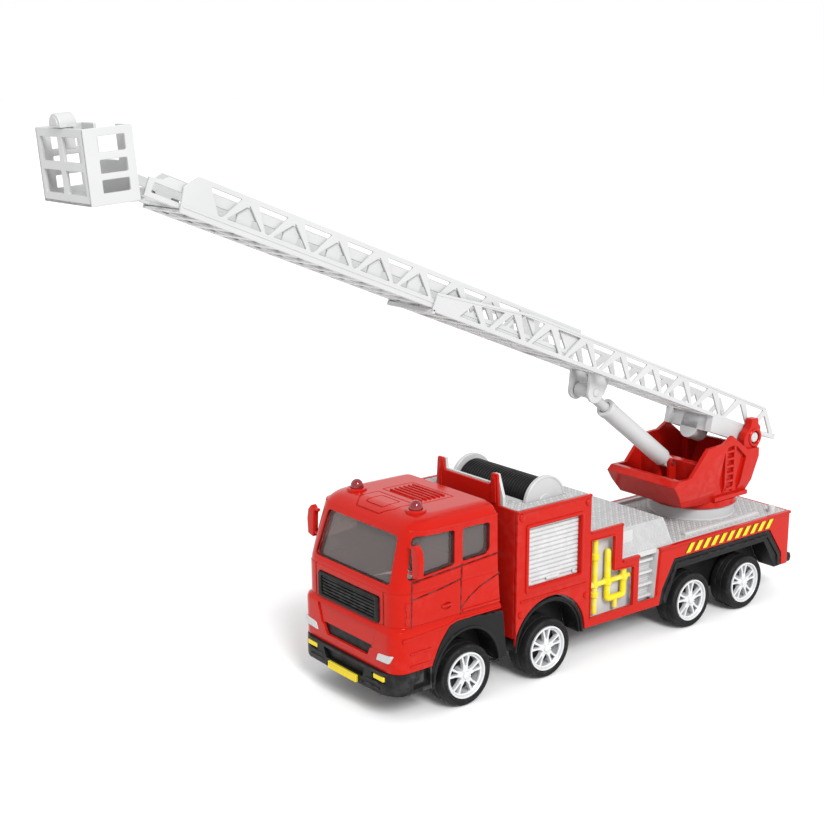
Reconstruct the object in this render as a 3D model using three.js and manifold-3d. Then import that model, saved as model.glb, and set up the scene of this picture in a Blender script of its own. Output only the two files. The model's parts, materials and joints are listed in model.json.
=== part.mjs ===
// Toy fire engine with a turntable ladder. Millimetres, +X forward, +Y left, +Z up, ground at Z = 0.
// Stations along the truck are measured from just ahead of the front axle and moved at the end,
// so that the origin is the centre of the whole toy's footprint.
import * as THREE from 'three';
import { mergeVertices } from 'three/addons/utils/BufferGeometryUtils.js';
import Module from 'manifold-3d';

const wasm = await Module();
wasm.setup();

// ---- driving dimensions -------------------------------------------------------------------
const ORIGIN_X = -41.53;             // middle of the toy's length, at the ladder's modelled pose
const GAP = 0.3;                     // clearance between neighbouring pieces
const HALF_WIDTH = 37.3;             // outer face of the body sides

const AXLE_X = [-2, -54, -160.2, -204.6];
const AXLE_Z = 15;
const AXLE_R = 1.5;
const BEARING_R = 1.8;
const TYRE_R = 15;
const TYRE_IN = 26;
const TYRE_OUT = 39;
const RIM_R = 11.3;

const CAB_REAR_X = -25.3;
const SHELL = 1.8;                   // wall of the cab shell
const CAB_ROOF_Z = 94.6;
const BEACON = { x: 15.6, y: 22.6, r: 3.1 };

const BOX_FRONT_X = -34;
const BOX_REAR_X = -83.5;
const BOX_TOP_Z = 87.7;
const STEP_X = -106.9;
const RECESS_FRONT_X = -119.6;
const RECESS_REAR_X = -134.4;
const PLATFORM_X = -147;
const PLATFORM_Z = 61.2;
const DECK_Z = 49;
const TAIL_X = -244;
const FLOOR_Z = 19.7;                // underside of the bodywork, on top of the chassis plate

const PANEL_IN = 35.6;               // inner face of the side panels
const SHUTTER = { front: -41.3, rear: -76.5, low: 48.2, high: 78.8 };
const PIPES_Y = 34.4;                // middle plane of the pipework
const REEL = { x: -60.6, z: 85.9, flangeR: 13.2, drumR: 10.9, half: 28.2 };

const TURRET_X = -203;
const PEDESTAL_R = 23.5;
const PEDESTAL_TOP = 55.2;
const TURRET_HALF = 24.7;
const WALL = 2.4;
const SIDE_WALL = 1.2;               // walls of the ladder sections

const PIVOT = { x: -227.5, z: 91.1 };           // ladder trunnion axis
const LADDER_PITCH = THREE.MathUtils.degToRad(21.34);
const STRUT_FOOT = { x: -180, z: 80.5 };        // lower strut pin axis
const STRUT_HEAD = { s: 118.8, n: -5.4 };       // upper strut pivot, in the ladder's own frame
const BASKET_PIVOT = { s: 399.5, n: 5.5 };      // basket pin axis, in the ladder's own frame
const BASKET_PITCH = THREE.MathUtils.degToRad(-5);

// ---- materials ----------------------------------------------------------------------------
const paint = (color, roughness, metalness = 0) =>
  new THREE.MeshStandardMaterial({ color, roughness, metalness });
const RED = paint(0xe8351f, 0.3);
const WHITE = paint(0xe9e9e8, 0.4);
const BLACK = paint(0x1d1f20, 0.45);
const RUBBER = paint(0x2a2b2c, 0.7);
const SILVER = paint(0xd5d7d9, 0.3, 0.5);
const STEEL = paint(0x9a9c9e, 0.35, 1);
const YELLOW = paint(0xf2d21e, 0.35);
const SMOKE = paint(0x5a4d4b, 0.15);
const CLEAR_RED = paint(0x8a1a1c, 0.1);

// ---- solids -------------------------------------------------------------------------------
function signedVolume(position, index) {
  const a = new THREE.Vector3();
  const b = new THREE.Vector3();
  const c = new THREE.Vector3();
  let volume = 0;
  for (let i = 0; i < index.count; i += 3) {
    a.fromBufferAttribute(position, index.getX(i));
    b.fromBufferAttribute(position, index.getX(i + 1));
    c.fromBufferAttribute(position, index.getX(i + 2));
    volume += a.dot(b.cross(c)) / 6;
  }
  return volume;
}

function solid(geometry) {
  const bare = geometry.clone();
  bare.deleteAttribute('normal');
  bare.deleteAttribute('uv');
  const merged = mergeVertices(bare, 1e-4);
  const triVerts = new Uint32Array(merged.index.array);
  if (signedVolume(merged.attributes.position, merged.index) < 0) triVerts.reverse();
  const vertProperties = new Float32Array(merged.attributes.position.array);
  return new wasm.Manifold(new wasm.Mesh({ numProp: 3, vertProperties, triVerts }));
}

function geometryOf(manifold) {
  const { vertProperties, triVerts } = manifold.getMesh();
  const geometry = new THREE.BufferGeometry();
  geometry.setAttribute('position', new THREE.BufferAttribute(vertProperties, 3));
  geometry.setIndex(new THREE.BufferAttribute(triVerts, 1));
  geometry.computeVertexNormals();
  return geometry;
}

const join = (...parts) => parts.flat().reduce((whole, part) => whole.add(part));
const cut = (whole, ...tools) => tools.flat().reduce((rest, tool) => rest.subtract(tool), whole);

function extrusion(points, depth) {
  const outline = new THREE.Shape(points.map(([a, b]) => new THREE.Vector2(a, b)));
  return new THREE.ExtrudeGeometry(outline, { depth, bevelEnabled: false });
}

// outline in X and Z, thick along Y
function sidePrism(points, y0, y1) {
  const [low, high] = [Math.min(y0, y1), Math.max(y0, y1)];
  return solid(extrusion(points, high - low).rotateX(Math.PI / 2).translate(0, high, 0));
}

// outline in Y and Z, thick along X
function frontPrism(points, x0, x1) {
  const turn = new THREE.Matrix4().makeBasis(
    new THREE.Vector3(0, 1, 0), new THREE.Vector3(0, 0, 1), new THREE.Vector3(1, 0, 0));
  return solid(extrusion(points, x1 - x0).applyMatrix4(turn).translate(x0, 0, 0));
}

// outline in X and Y, thick along Z
const planPrism = (points, z0, z1) => solid(extrusion(points, z1 - z0).translate(0, 0, z0));

function box(x0, x1, y0, y1, z0, z1) {
  const geometry = new THREE.BoxGeometry(x1 - x0, Math.abs(y1 - y0), z1 - z0);
  return solid(geometry.translate((x0 + x1) / 2, (y0 + y1) / 2, (z0 + z1) / 2));
}

function arc(cx, cy, rx, ry, from, to, steps) {
  return Array.from({ length: steps + 1 }, (_, i) => {
    const angle = THREE.MathUtils.degToRad(from + (to - from) * i / steps);
    return [cx + rx * Math.cos(angle), cy + ry * Math.sin(angle)];
  });
}

const circle = (cx, cy, r, steps = 24) => arc(cx, cy, r, r, 0, 360 - 360 / steps, steps - 1);
const rodAlongY = (x, z, r, y0, y1, steps = 16) => sidePrism(circle(x, z, r, steps), y0, y1);
const rodUp = (x, y, r, z0, z1, steps = 32) => planPrism(circle(x, y, r, steps), z0, z1);
const mirrored = (half) => [...half, ...half.map(([y, z]) => [-y, z]).reverse()];
const mirroredPlan = (half) => [...half, ...half.map(([x, y]) => [x, -y]).reverse()];
const rectangle = (a0, a1, b0, b1) => [[a0, b0], [a1, b0], [a1, b1], [a0, b1]];
const lathe = (profile, steps) =>
  solid(new THREE.LatheGeometry(profile.map(([r, y]) => new THREE.Vector2(r, y)), steps));

const model = new THREE.Group();

function add(parent, name, shape, material) {
  const mesh = new THREE.Mesh(shape instanceof THREE.BufferGeometry ? shape : geometryOf(shape), material);
  mesh.name = name;
  parent.add(mesh);
  return mesh;
}

const SIDES = [['left', 1], ['right', -1]];

// ---- wheels -------------------------------------------------------------------------------
function tyreShape() {
  const bore = RIM_R + GAP;
  return geometryOf(lathe([
    [bore, TYRE_IN], [TYRE_R, TYRE_IN], [TYRE_R, TYRE_OUT - 1.4],
    [TYRE_R - 0.8, TYRE_OUT - 0.2], [bore, TYRE_OUT - 0.4], [bore, TYRE_IN],
  ], 20));
}

function rimShape() {
  const face = 36.8;
  const wheel = lathe([
    [0, face - 0.6], [BEARING_R, face - 0.6], [BEARING_R, 33.4], [10, 33.4], [10, 27.4], [RIM_R, 27.4],
    [RIM_R, TYRE_OUT], [10.4, TYRE_OUT], [9.8, face], [2.6, face], [2.2, TYRE_OUT - 0.6], [0, TYRE_OUT - 0.6],
  ], 16);
  const windows = [0, 1, 2, 3, 4].map((i) => {
    const outer = arc(0, 0, 8.6, 8.6, 72 * i + 13, 72 * i + 59, 2);
    const inner = arc(0, 0, 4.2, 4.2, 72 * i + 50, 72 * i + 22, 1);
    return sidePrism([...outer, ...inner], 30, TYRE_OUT);
  });
  return geometryOf(cut(wheel, windows));
}

function addWheels() {
  const tyre = tyreShape();
  const rim = rimShape();
  AXLE_X.forEach((x, i) => {
    add(model, `axle_${i + 1}`, rodAlongY(x, AXLE_Z, AXLE_R, -36, 36), STEEL);
    for (const [side, sign] of SIDES) {
      for (const [name, shape, material] of [['tyre', tyre, RUBBER], ['rim', rim, SILVER]]) {
        const mesh = add(model, `${name}_${side}_${i + 1}`, shape, material);
        mesh.position.set(x, 0, AXLE_Z);
        mesh.rotation.z = sign > 0 ? 0 : Math.PI;
      }
    }
  });
}

// ---- chassis and bumpers ------------------------------------------------------------------
function addChassis() {
  const bearings = AXLE_X.flatMap((x) => SIDES.map(([, sign]) =>
    box(x - 3.4, x + 3.4, 17 * sign, 23.5 * sign, 11.8, 17.6)));
  const bores = AXLE_X.map((x) => rodAlongY(x, AXLE_Z, BEARING_R, -30, 30, 12));
  const plate = box(TAIL_X + 1.7 + GAP, 31, -24, 24, 17.2, FLOOR_Z - GAP);
  add(model, 'chassis', cut(join(plate, bearings), bores), BLACK);
  const bar = frontPrism([[-36, 17.4], [36, 17.4], [36.6, 20], [36, 22.6], [-36, 22.6], [-36.6, 20]],
    TAIL_X - 4.6, TAIL_X - GAP);
  add(model, 'rear_bumper', bar, BLACK);
}

function addFrontBumper() {
  const outer = planPrism(mirroredPlan([
    [17.8, HALF_WIDTH], [31.6, HALF_WIDTH], [36, 35.6], [38.8, 32.6], [40.4, 28.6]]), 13.6, 24.2);
  const hollow = planPrism(mirroredPlan([[10, 34.6], [31, 34.6], [35, 32.4], [37, 28]]), 12, 25);
  const slot = sidePrism([
    [28.6, 15.8], [28.6, 18.3], [22.8, 18.3], [22.8, 24.6], [18.9, 24.6], [18.9, 15.8]], -40, 40);
  const chin = frontPrism(mirrored([[14.5, 17.8], [15.6, 21]]), 39.6, 42);
  add(model, 'front_bumper', cut(outer, hollow, slot, chin), BLACK);
  add(model, 'number_plate', box(40.4 + GAP, 41.7, -11.2, 11.2, 14, 17.6), YELLOW);
}

const ARCH_TOP = [[17.5, 24.4], [13.3, 33.7], [7.4, 41], [3.2, 43.4], [-25.3, 42.8]];

// The front fender is a plate with a liner over the tyre, open below.
function frontFender(sign) {
  const well = (thickness) => arc(-3.3, 15.5, 19.5 + thickness, 22 + thickness, -8, 188, 16);
  const plate = sidePrism(
    [[17.5, 12.6], ...ARCH_TOP, [-28.3, 17.3], [-24.6, 17.3], [-22, 12.6]], 35.2 * sign, 37.6 * sign);
  const liner = sidePrism(well(1.2), 25 * sign, 37 * sign);
  const opening = sidePrism([...well(0), [-24, 8], [17, 8]], 20 * sign, 40 * sign);
  const below = box(-30, 20, 20 * sign, 40 * sign, 0, 12.6);
  return cut(join(plate, liner), opening, below);
}

function middleFender(sign) {
  const well = (thickness) => arc(-56.8, 17, 20.6 + thickness, 20.6 + thickness, -2, 182, 16);
  const opening = sidePrism([...well(0), [-80, 8], [-30, 8]], 20 * sign, 40 * sign);
  const below = box(-90, -30, 20 * sign, 40 * sign, 0, 16.6);
  return cut(sidePrism(well(2.4), 25 * sign, 36.4 * sign), opening, below);
}

// The rear fender is one angular band over both rear wheels.
function rearFender(sign) {
  const outer = [[-136.3, 17.3], [-138.1, 25], [-147.1, 40.4], [-226.4, 40.4], [-237.7, 25], [-238.4, 17.3]];
  const inner = [[-142.1, 10], [-142.1, 17.3], [-149.7, 34.3], [-222.5, 34.6], [-233.1, 17.3], [-233.1, 10]];
  return cut(sidePrism(outer, 25 * sign, 36.9 * sign), sidePrism(inner, 20 * sign, 40 * sign));
}

function addFenders() {
  for (const [side, sign] of SIDES) {
    add(model, `front_fender_${side}`, frontFender(sign), BLACK);
    add(model, `middle_fender_${side}`, middleFender(sign), BLACK);
    add(model, `rear_fender_${side}`, rearFender(sign), BLACK);
  }
}

// ---- cab ----------------------------------------------------------------------------------
// Where three outlines meet: from the side, from the front and from above.
function cabBlock(profile, halfFront, planHalf) {
  const along = sidePrism(profile, -HALF_WIDTH, HALF_WIDTH);
  const across = frontPrism(mirrored(halfFront), -40, 50);
  const above = planPrism(mirroredPlan(planHalf), 0, 120);
  return along.intersect(across).intersect(above);
}

function cabWindows() {
  const screen = frontPrism(mirrored([[29.1, 64.9], [27, 86.6]]), 20, 45);
  const front = [[31.2, 68], [4.7, 70.4], [4.7, 87.1], [25.4, 87.6], [27, 86.2]];
  const rear = [[0, 71], [-14.4, 71.6], [-16.5, 73.6], [-16.5, 86.7], [0, 87]];
  const sides = [front, rear].flatMap((outline) => SIDES.map(([, sign]) =>
    sidePrism(outline, (HALF_WIDTH - 4) * sign, (HALF_WIDTH + 2) * sign)));
  return [screen, ...sides];
}

function cabOutside() {
  return cabBlock([
    [CAB_REAR_X, 24.5], [33, 24.5], [38.9, 26.2], [38.9, 43.2], [37.2, 45.2], [37.2, 61.4], [36.6, 63.4],
    [29.3, 86.6], [28.4, 88.9], [26.4, 91.4], [23, 93.4], [18, CAB_ROOF_Z], [-21.5, CAB_ROOF_Z], [-22.3, 70],
  ], [[HALF_WIDTH, 20], [HALF_WIDTH, 89.2], [36.6, 89.8], [34.2, 92.9], [33, 93.6], [27.5, 94.7]],
  [[-30, HALF_WIDTH], [30, HALF_WIDTH], [34.6, 36], [37.4, 33.2], [39, 29]]);
}

function cabInside() {
  const half = HALF_WIDTH - SHELL;
  const ceiling = CAB_ROOF_Z - SHELL;
  return cabBlock([
    [CAB_REAR_X + SHELL, 20], [33, 20], [36.6, 27], [36.2, 43.4], [35.2, 45.4], [35.2, 62], [34.6, 64],
    [27.5, 86.4], [25.2, 89.6], [18, ceiling - 0.2], [-19.8, ceiling], [-20.6, 70],
  ], [[half, 10], [half, 88.2], [33, 91.3], [27.5, ceiling]],
  [[-30, half], [29.4, half], [33.4, 34.4], [35.8, 32], [37.4, 28]]);
}

// The window insert's outer skin, drawn in by an inset.
function glazingSkin(inset) {
  const half = 35.1 - inset;
  const top = 92.2 - inset;
  return cabBlock([
    [-19.8 + inset, 62.6], [34.1 - inset, 62.6], [34.1 - inset, 64.2], [27 - inset, 86.2],
    [24.8 - inset, 89.2 - inset], [17.2, top], [-19.2 + inset, top],
  ], [[half, 60], [half, 88], [32.6 - inset, 90.8 - inset], [27.2, top]],
  [[-30, half], [29 - inset, half], [33 - inset, 34 - inset], [35.3 - inset, 31.6 - inset],
    [36.9 - inset, 27.6]]);
}

function addCabShell() {
  const socketR = BEACON.r + GAP;
  const collars = SIDES.map(([, sign]) => rodUp(BEACON.x, BEACON.y * sign, 4.8, 92, CAB_ROOF_Z + 1, 24));
  const sockets = SIDES.map(([, sign]) =>
    rodUp(BEACON.x, BEACON.y * sign, socketR, CAB_ROOF_Z - 0.4, 99, 24));
  const archTop = ARCH_TOP.map(([x, z]) => [x + 0.2, z + 0.4]);
  const arch = sidePrism([[17.8, 20], ...archTop, [-32, 43.2], [-32, 20]], -45, 45);
  const grille = box(34, 40, -23.7, 23.7, 45.9, 58.7);
  const intake = frontPrism(mirrored([[16.2, 28.8], [18.8, 34]]), 37.6, 41);
  const openings = [cabInside(), ...cabWindows(), arch, ...sockets, grille, intake];
  add(model, 'cab_shell', cut(join(cabOutside(), collars), openings), RED);
}

function addGlazing() {
  const openBottom = box(-18, 32, -33, 33, 61, 66);
  add(model, 'cab_glazing', cut(glazingSkin(0), join(glazingSkin(1.1), openBottom)), SMOKE);
}

function addGrille() {
  const pitch = 1.95;
  const slots = [0, 1, 2, 3, 4, 5].map((i) => box(37.3, 38, -21, 21, 47.2 + pitch * i, 48 + pitch * i));
  add(model, 'grille', cut(box(36.1, 37.9, -23.4, 23.4, 46.2, 58.4), slots), BLACK);
}

function addBeacon(side, sign) {
  const low = CAB_ROOF_Z - 0.1;
  const dome = lathe([
    [0, low], [BEACON.r, low], [BEACON.r, low + 2.1], [2.7, low + 3.7], [1.7, low + 4.8],
    [0, low + 5.2]], 20);
  const beacon = add(model, `beacon_${side}`, geometryOf(dome), CLEAR_RED);
  beacon.rotation.x = Math.PI / 2;
  beacon.position.set(BEACON.x, BEACON.y * sign, 0);
}

function addMirror(side, sign) {
  const outline = [
    [37.6, 82], [37.6, 84.6], [40, 85.6], [42.6, 83], [43.6, 78], [43, 70.6], [38.6, 69.6], [38.4, 80]];
  const placed = outline.map(([y, z]) => [y * sign, z]);
  add(model, `mirror_${side}`, frontPrism(placed, 27.4, 30.6), RED);
}

function addCab() {
  addCabShell();
  addGlazing();
  addGrille();
  for (const [side, sign] of SIDES) {
    addBeacon(side, sign);
    addMirror(side, sign);
  }
}

// ---- bodywork -----------------------------------------------------------------------------
const HORNS = [[23.3, 87.9], [22.4, 103.2], [17.9, 103.2], [17.3, 97.2]];

// The blocks that the white inner body is made of, from front to rear.
function innerBlocks() {
  const half = HALF_WIDTH - 2;
  const deckLow = DECK_Z - 2.6;
  const locker = box(BOX_REAR_X + GAP, BOX_FRONT_X - 1.8, -34, 34, FLOOR_Z, BOX_TOP_Z);
  const upstand = frontPrism(mirrored([[24.9, 85], [24.7, 92], [20.8, 102.6], [17.9, 102.6], [17.3, 97.5]]),
    BOX_FRONT_X - 3.4, BOX_FRONT_X - 1.8);
  const middle = box(RECESS_FRONT_X, BOX_REAR_X + 1, -31.9, 31.9, FLOOR_Z, PLATFORM_Z);
  const platform = frontPrism(
    mirrored([[half, deckLow], [half, 48.6], [28, PLATFORM_Z]]), PLATFORM_X, STEP_X - GAP);
  const deck = box(TAIL_X + 2, RECESS_FRONT_X, -half, half, deckLow, DECK_Z);
  const stairBack = box(RECESS_REAR_X, RECESS_FRONT_X, -30.5, 30.5, FLOOR_Z, 47);
  const stairs = [24, 30.5, 37, 43.5].flatMap((z) => SIDES.map(([, sign]) =>
    box(RECESS_REAR_X, RECESS_FRONT_X, 30 * sign, 33.4 * sign, z - 1.2, z)));
  const spine = box(TAIL_X + 4, RECESS_REAR_X + 1, -23.5, 23.5, FLOOR_Z, 47);
  return [locker, upstand, middle, platform, deck, stairBack, ...stairs, spine];
}

function deckFittings() {
  const pedestal = rodUp(TURRET_X, 0, PEDESTAL_R, 48, PEDESTAL_TOP, 40);
  const rails = SIDES.map(([, sign]) => box(-223, -161, 29.3 * sign, 31.9 * sign, 48, DECK_Z + 1.2));
  const pegs = SIDES.map(([, sign]) => rodUp(-232.4, 33 * sign, 2, 48, 52.6, 12));
  return [pedestal, ...rails, ...pegs];
}

// The rooms inside the body, open at the bottom, so that its walls stay thin.
function innerRooms() {
  return [
    box(-81, -38, -22, 22, 10, 66), box(-81, -38, -31, 31, 43, 66),
    box(-145, -85, -22, 22, 10, PLATFORM_Z - 2), box(-133, -85, -26.5, 26.5, 10, PLATFORM_Z - 2),
    box(-238, -144, -21.5, 21.5, 10, DECK_Z - 4),
  ];
}

function addInnerBody() {
  const wells = SIDES.map(([, sign]) =>
    sidePrism(arc(-56.8, 17, 23.4, 23.4, -8, 188, 16), 24.2 * sign, 40 * sign));
  const troughs = [
    rodAlongY(REEL.x, REEL.z, REEL.drumR + 0.5, -30, 30, 28),
    ...SIDES.map(([, sign]) =>
      rodAlongY(REEL.x, REEL.z, REEL.flangeR + 0.6, 25.3 * sign, (REEL.half + 0.6) * sign, 28)),
  ];
  const bore = rodUp(TURRET_X, 0, 6.4, 40, 60, 24);
  const whole = join(innerBlocks(), deckFittings());
  add(model, 'inner_body', cut(whole, wells, innerRooms(), troughs, bore), WHITE);
}

function panelOutline() {
  return [
    [BOX_FRONT_X, 19.8], [BOX_FRONT_X, 87.9], [BOX_REAR_X, 87.9], [BOX_REAR_X, 68.2], [STEP_X, 68.2],
    [STEP_X, 48.7], [RECESS_FRONT_X, 48.7], [RECESS_FRONT_X, 22.5], [-132.4, 22.3], [-134.6, DECK_Z],
    [TAIL_X, DECK_Z], [TAIL_X, 17.6], [-238.8, 17.6], [-238.1, 25.2], [-226.7, 40.8], [-146.8, 40.8],
    [-137.7, 25.2], [-136, 17.4], ...arc(-57, 17.2, 23.9, 23.9, 178, 20, 13),
  ];
}

function addSidePanel(side, sign) {
  const { front, rear, low, high } = SHUTTER;
  const skin = sidePrism(panelOutline(), PANEL_IN * sign, HALF_WIDTH * sign);
  const frame = sidePrism(rectangle(rear - 1.6, front + 1.8, low - 2.4, high + 1.6), 36 * sign, 38 * sign);
  const ridge = box(-80.7, -36.8, 36 * sign, 37.8 * sign, 42, 42.9);
  const flange = box(TAIL_X, -134.8, 36 * sign, 38.2 * sign, 47.2, DECK_Z);
  const ledge = box(RECESS_FRONT_X, STEP_X, 36 * sign, 38 * sign, 46.9, 48.7);
  const rivets = [[-36.7, 84.7], [-80.9, 84.2], [-36.9, 36], [-80.9, 36]].map(([x, z]) =>
    rodAlongY(x, z, 1.7, 36 * sign, 38.1 * sign, 12));
  const pipeOpening = sidePrism([
    [-84.4, 22.8], [-115.2, 22.8], [-115.2, 43.6], [-100.6, 44.2], [-100.6, 63], [-84.4, 63.4],
  ], 30 * sign, 45 * sign);
  const shutterOpening = sidePrism(rectangle(rear, front, low, high), 30 * sign, 45 * sign);
  const panel = cut(join(skin, frame, ridge, flange, ledge, rivets), shutterOpening, pipeOpening);
  add(model, `side_panel_${side}`, panel, RED);
}

function addShutter(side, sign) {
  const slats = 14;
  const low = SHUTTER.low - 0.6;
  const pitch = 2.25;
  const slatPoints = Array.from({ length: slats }, (_, i) => low + pitch * i).flatMap((z) =>
    [[35.3 * sign, z], [35.3 * sign, z + 1.8], [34.9 * sign, z + 2.1]]);
  const outline = [[34.3 * sign, low], ...slatPoints, [34.3 * sign, low + pitch * slats]];
  add(model, `shutter_${side}`, frontPrism(outline, SHUTTER.rear - 2, SHUTTER.front + 1.7), WHITE);
}

function addPipework(side, sign) {
  const y = PIPES_Y * sign;
  const upright = (x, r, z0, z1) => solid(new THREE.CylinderGeometry(r, r, z1 - z0, 8)
    .rotateX(Math.PI / 2).translate(x, y, (z0 + z1) / 2));
  const level = (z, r, x0, x1) => solid(new THREE.CylinderGeometry(r, r, x1 - x0, 8)
    .rotateZ(Math.PI / 2).translate((x0 + x1) / 2, y, z));
  const riser = [
    upright(-89.8, 1.5, 23.4, 62.4), upright(-89.8, 2.2, 51.6, 55.2), upright(-89.8, 2.2, 31.8, 35)];
  const frontLeg = [upright(-99, 1.7, 28.9, 55.8), upright(-99, 2.2, 36.6, 40.2)];
  const rearLeg = [upright(-110.8, 1.7, 28.9, 43), upright(-110.8, 2.2, 36.8, 40.4)];
  const bottom = [level(28.9, 1.7, -111.6, -98.2), upright(-104.9, 1.3, 23.4, 28.9)];
  const cross = level(38.5, 1.4, -114.7, -86);
  add(model, `pipework_${side}`, join(riser, frontLeg, rearLeg, bottom, cross), YELLOW);
}

function addEndWalls() {
  const corners = SIDES.map(([, sign]) => sidePrism(circle(-57, 17.2, 23.9, 32), 24.7 * sign, 40 * sign));
  const outline = mirrored([[35.3, FLOOR_Z], [35.3, 87.9], ...HORNS]);
  add(model, 'front_wall', cut(frontPrism(outline, BOX_FRONT_X - 1.5, BOX_FRONT_X), corners), RED);
  add(model, 'rear_wall', box(TAIL_X, TAIL_X + 1.7, -35.3, 35.3, FLOOR_Z, DECK_Z), RED);
}

function addBodywork() {
  addInnerBody();
  for (const [side, sign] of SIDES) {
    addSidePanel(side, sign);
    addShutter(side, sign);
    addPipework(side, sign);
  }
  addEndWalls();
}

// ---- hose reel ----------------------------------------------------------------------------
function addHoseReel() {
  const inner = 25.4;
  const flanges = SIDES.map(([, sign]) =>
    rodAlongY(REEL.x, REEL.z, REEL.flangeR, (inner + 0.5) * sign, REEL.half * sign, 28));
  const spindle = rodAlongY(REEL.x, REEL.z, 4, -26.5, 26.5, 20);
  add(model, 'reel_flanges', join(flanges, spindle), WHITE);
  const bore = 4.4;
  const winding = lathe(
    [[bore, -inner], [REEL.drumR, -inner], [REEL.drumR, inner], [bore, inner], [bore, -inner]], 24);
  const drum = add(model, 'reel_winding', geometryOf(winding), BLACK);
  drum.position.set(REEL.x, 0, REEL.z);
}

// ---- turntable ----------------------------------------------------------------------------
// The open tub, with sides that lean in at the bottom.
function turretTub() {
  const hull = [
    [-168, 60.8], [-185, 59.5], [-220, 59.5], [-229.5, 80.6], [-229.3, 85.5], [-219, 86], [-206, 95.6],
    [-198.5, 91.7], [-186, 91.2], [-172.5, 76.9], [-162.2, 76.9], [-159, 74],
  ];
  const room = [
    [-171, 63.5], [-187, 62.3], [-218, 62.3], [-226.5, 80], [-226.5, 110], [-165.4, 110], [-165.4, 75]];
  const flare = frontPrism(
    mirrored([[22, 50], [22, 59.5], [TURRET_HALF, 68], [TURRET_HALF, 120]]), -240, -150);
  const inside = sidePrism(room, -(TURRET_HALF - WALL), TURRET_HALF - WALL);
  return cut(sidePrism(hull, -TURRET_HALF, TURRET_HALF).intersect(flare), inside);
}

// The panels let into each side of the tub, the middle one with its steps.
function sidePockets() {
  const outlines = [
    [[-193.4, 63.5], [-200.6, 63.5], [-200.2, 87]],
    [[-201.8, 63.5], [-207.6, 63.5], [-207.6, 90], [-202, 89.4]],
    [[-209.2, 63.5], [-212.6, 63.5], [-218.2, 82], [-209.4, 89.6]],
  ];
  return SIDES.flatMap(([, sign]) => outlines.map((outline) => sidePrism(outline, 23.4 * sign, 26 * sign)));
}

function sideSteps() {
  const pitch = 4.2;
  return SIDES.flatMap(([, sign]) => [0, 1, 2, 3, 4, 5].map((i) => 65.3 + pitch * i).map((z) =>
    box(-207.7, -201.7, 22.6 * sign, 24.5 * sign, z, z + 1.3)));
}

function turretEars() {
  return SIDES.map(([, sign]) => sidePrism([
    [-218.5, 70], [-228.6, 78], [-229.4, 84], [-232.4, 87.4], [-232.4, 97], [-230.6, 98.4], [-229.9, 102],
    [-224.8, 102], [-223.8, 98.6], [-222.8, 96.4], [-220, 94.6], [-218.4, 91.4]], 17.8 * sign, 22.6 * sign));
}

function strutFeet() {
  const { x, z } = STRUT_FOOT;
  return SIDES.map(([, sign]) => sidePrism(
    [[x + 3.4, 61.5], ...arc(x, z, 3.4, 3.4, 0, 180, 6), [x - 5, 61.5]], 2.7 * sign, 4.9 * sign));
}

function addTurret() {
  const turningPlate = rodUp(TURRET_X, 0, 25, PEDESTAL_TOP + GAP + 0.1, 60, 40);
  const spigot = rodUp(TURRET_X, 0, 6, 44.9, 60, 24);
  const bulkhead = box(-190, -184.4, -23, 23, 61, 81.5);
  const ledges = SIDES.map(([, sign]) => box(-221, -193, 20 * sign, TURRET_HALF * sign, 59.9, 62.4));
  const trunnion = rodAlongY(PIVOT.x, PIVOT.z, 3.6, -30, 30, 24);
  const footPin = rodAlongY(STRUT_FOOT.x, STRUT_FOOT.z, 1.7, -8, 8);
  const whole = join(turretTub(), turningPlate, spigot, bulkhead, ledges, turretEars(), strutFeet());
  const pocketed = join(cut(whole, sidePockets()), sideSteps());
  add(model, 'turret', cut(pocketed, trunnion, footPin), RED);
  const washer = rodUp(TURRET_X, 0, 9, 42.6, 44.6, 24);
  const screwHead = rodUp(TURRET_X, 0, 3, 41.4, 43, 12);
  add(model, 'turret_retainer', join(washer, screwHead), STEEL);
}

// ---- ladder -------------------------------------------------------------------------------
// Each section is a channel: two trussed side walls and a floor of rungs, open on top.
function channel(outline, half, floor) {
  const walls = SIDES.map(([, sign]) => sidePrism(outline, half * sign, (half - SIDE_WALL) * sign));
  const stations = outline.map(([s]) => s);
  const [rear, front] = [Math.min(...stations) + 1, Math.max(...stations) - 0.2];
  return join(walls, box(rear, front, -half + 0.2, half - 0.2, floor, floor + 1.1));
}

const throughSides = (outline) => sidePrism(outline, -20, 20);

function downWindow(s, pitch, low, high) {
  return throughSides([[s - 0.32 * pitch, high], [s - 1, low], [s + 1, low], [s + 0.32 * pitch, high]]);
}

function upWindow(s, pitch, low, high) {
  return throughSides([[s - 0.37 * pitch, low], [s + 0.37 * pitch, low], [s, high - 1.2]]);
}

// Alternate triangular windows of a Warren truss, centred on s0, s0 - pitch, ...
function trussWindows(s0, pitch, count, low, high) {
  return Array.from({ length: count }, (_, i) => [
    downWindow(s0 - pitch * i, pitch, low, high),
    upWindow(s0 - pitch * (i + 0.5), pitch, low, high),
  ]).flat();
}

function rungWindows(s0, pitch, count, half, floor) {
  return Array.from({ length: count }, (_, i) => s0 - pitch * i).map((s) =>
    box(s - 0.31 * pitch, s + 0.31 * pitch, -(half - 3), half - 3, floor - 3, floor + 3));
}

// The base section's windows, with the smaller ones at its tapered ends.
function baseWindows() {
  const pitch = 26.5;
  const first = 185.3;
  const count = 7;
  const low = 5.5;
  const high = 16.6;
  return [
    ...trussWindows(first, pitch, count, low, high), downWindow(first - pitch * count, pitch, low, high),
    throughSides([[-19.6, low], [-4, low], [-11, 14]]),
    throughSides([[198.6, 15.4], [189.2, low], [207.6, low]]),
    throughSides([[204, 14.6], [211, low], [213, low], [219.4, 13.2]]),
    throughSides([[224.4, 12.6], [216.8, low], [230.6, low]]),
  ];
}

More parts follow.
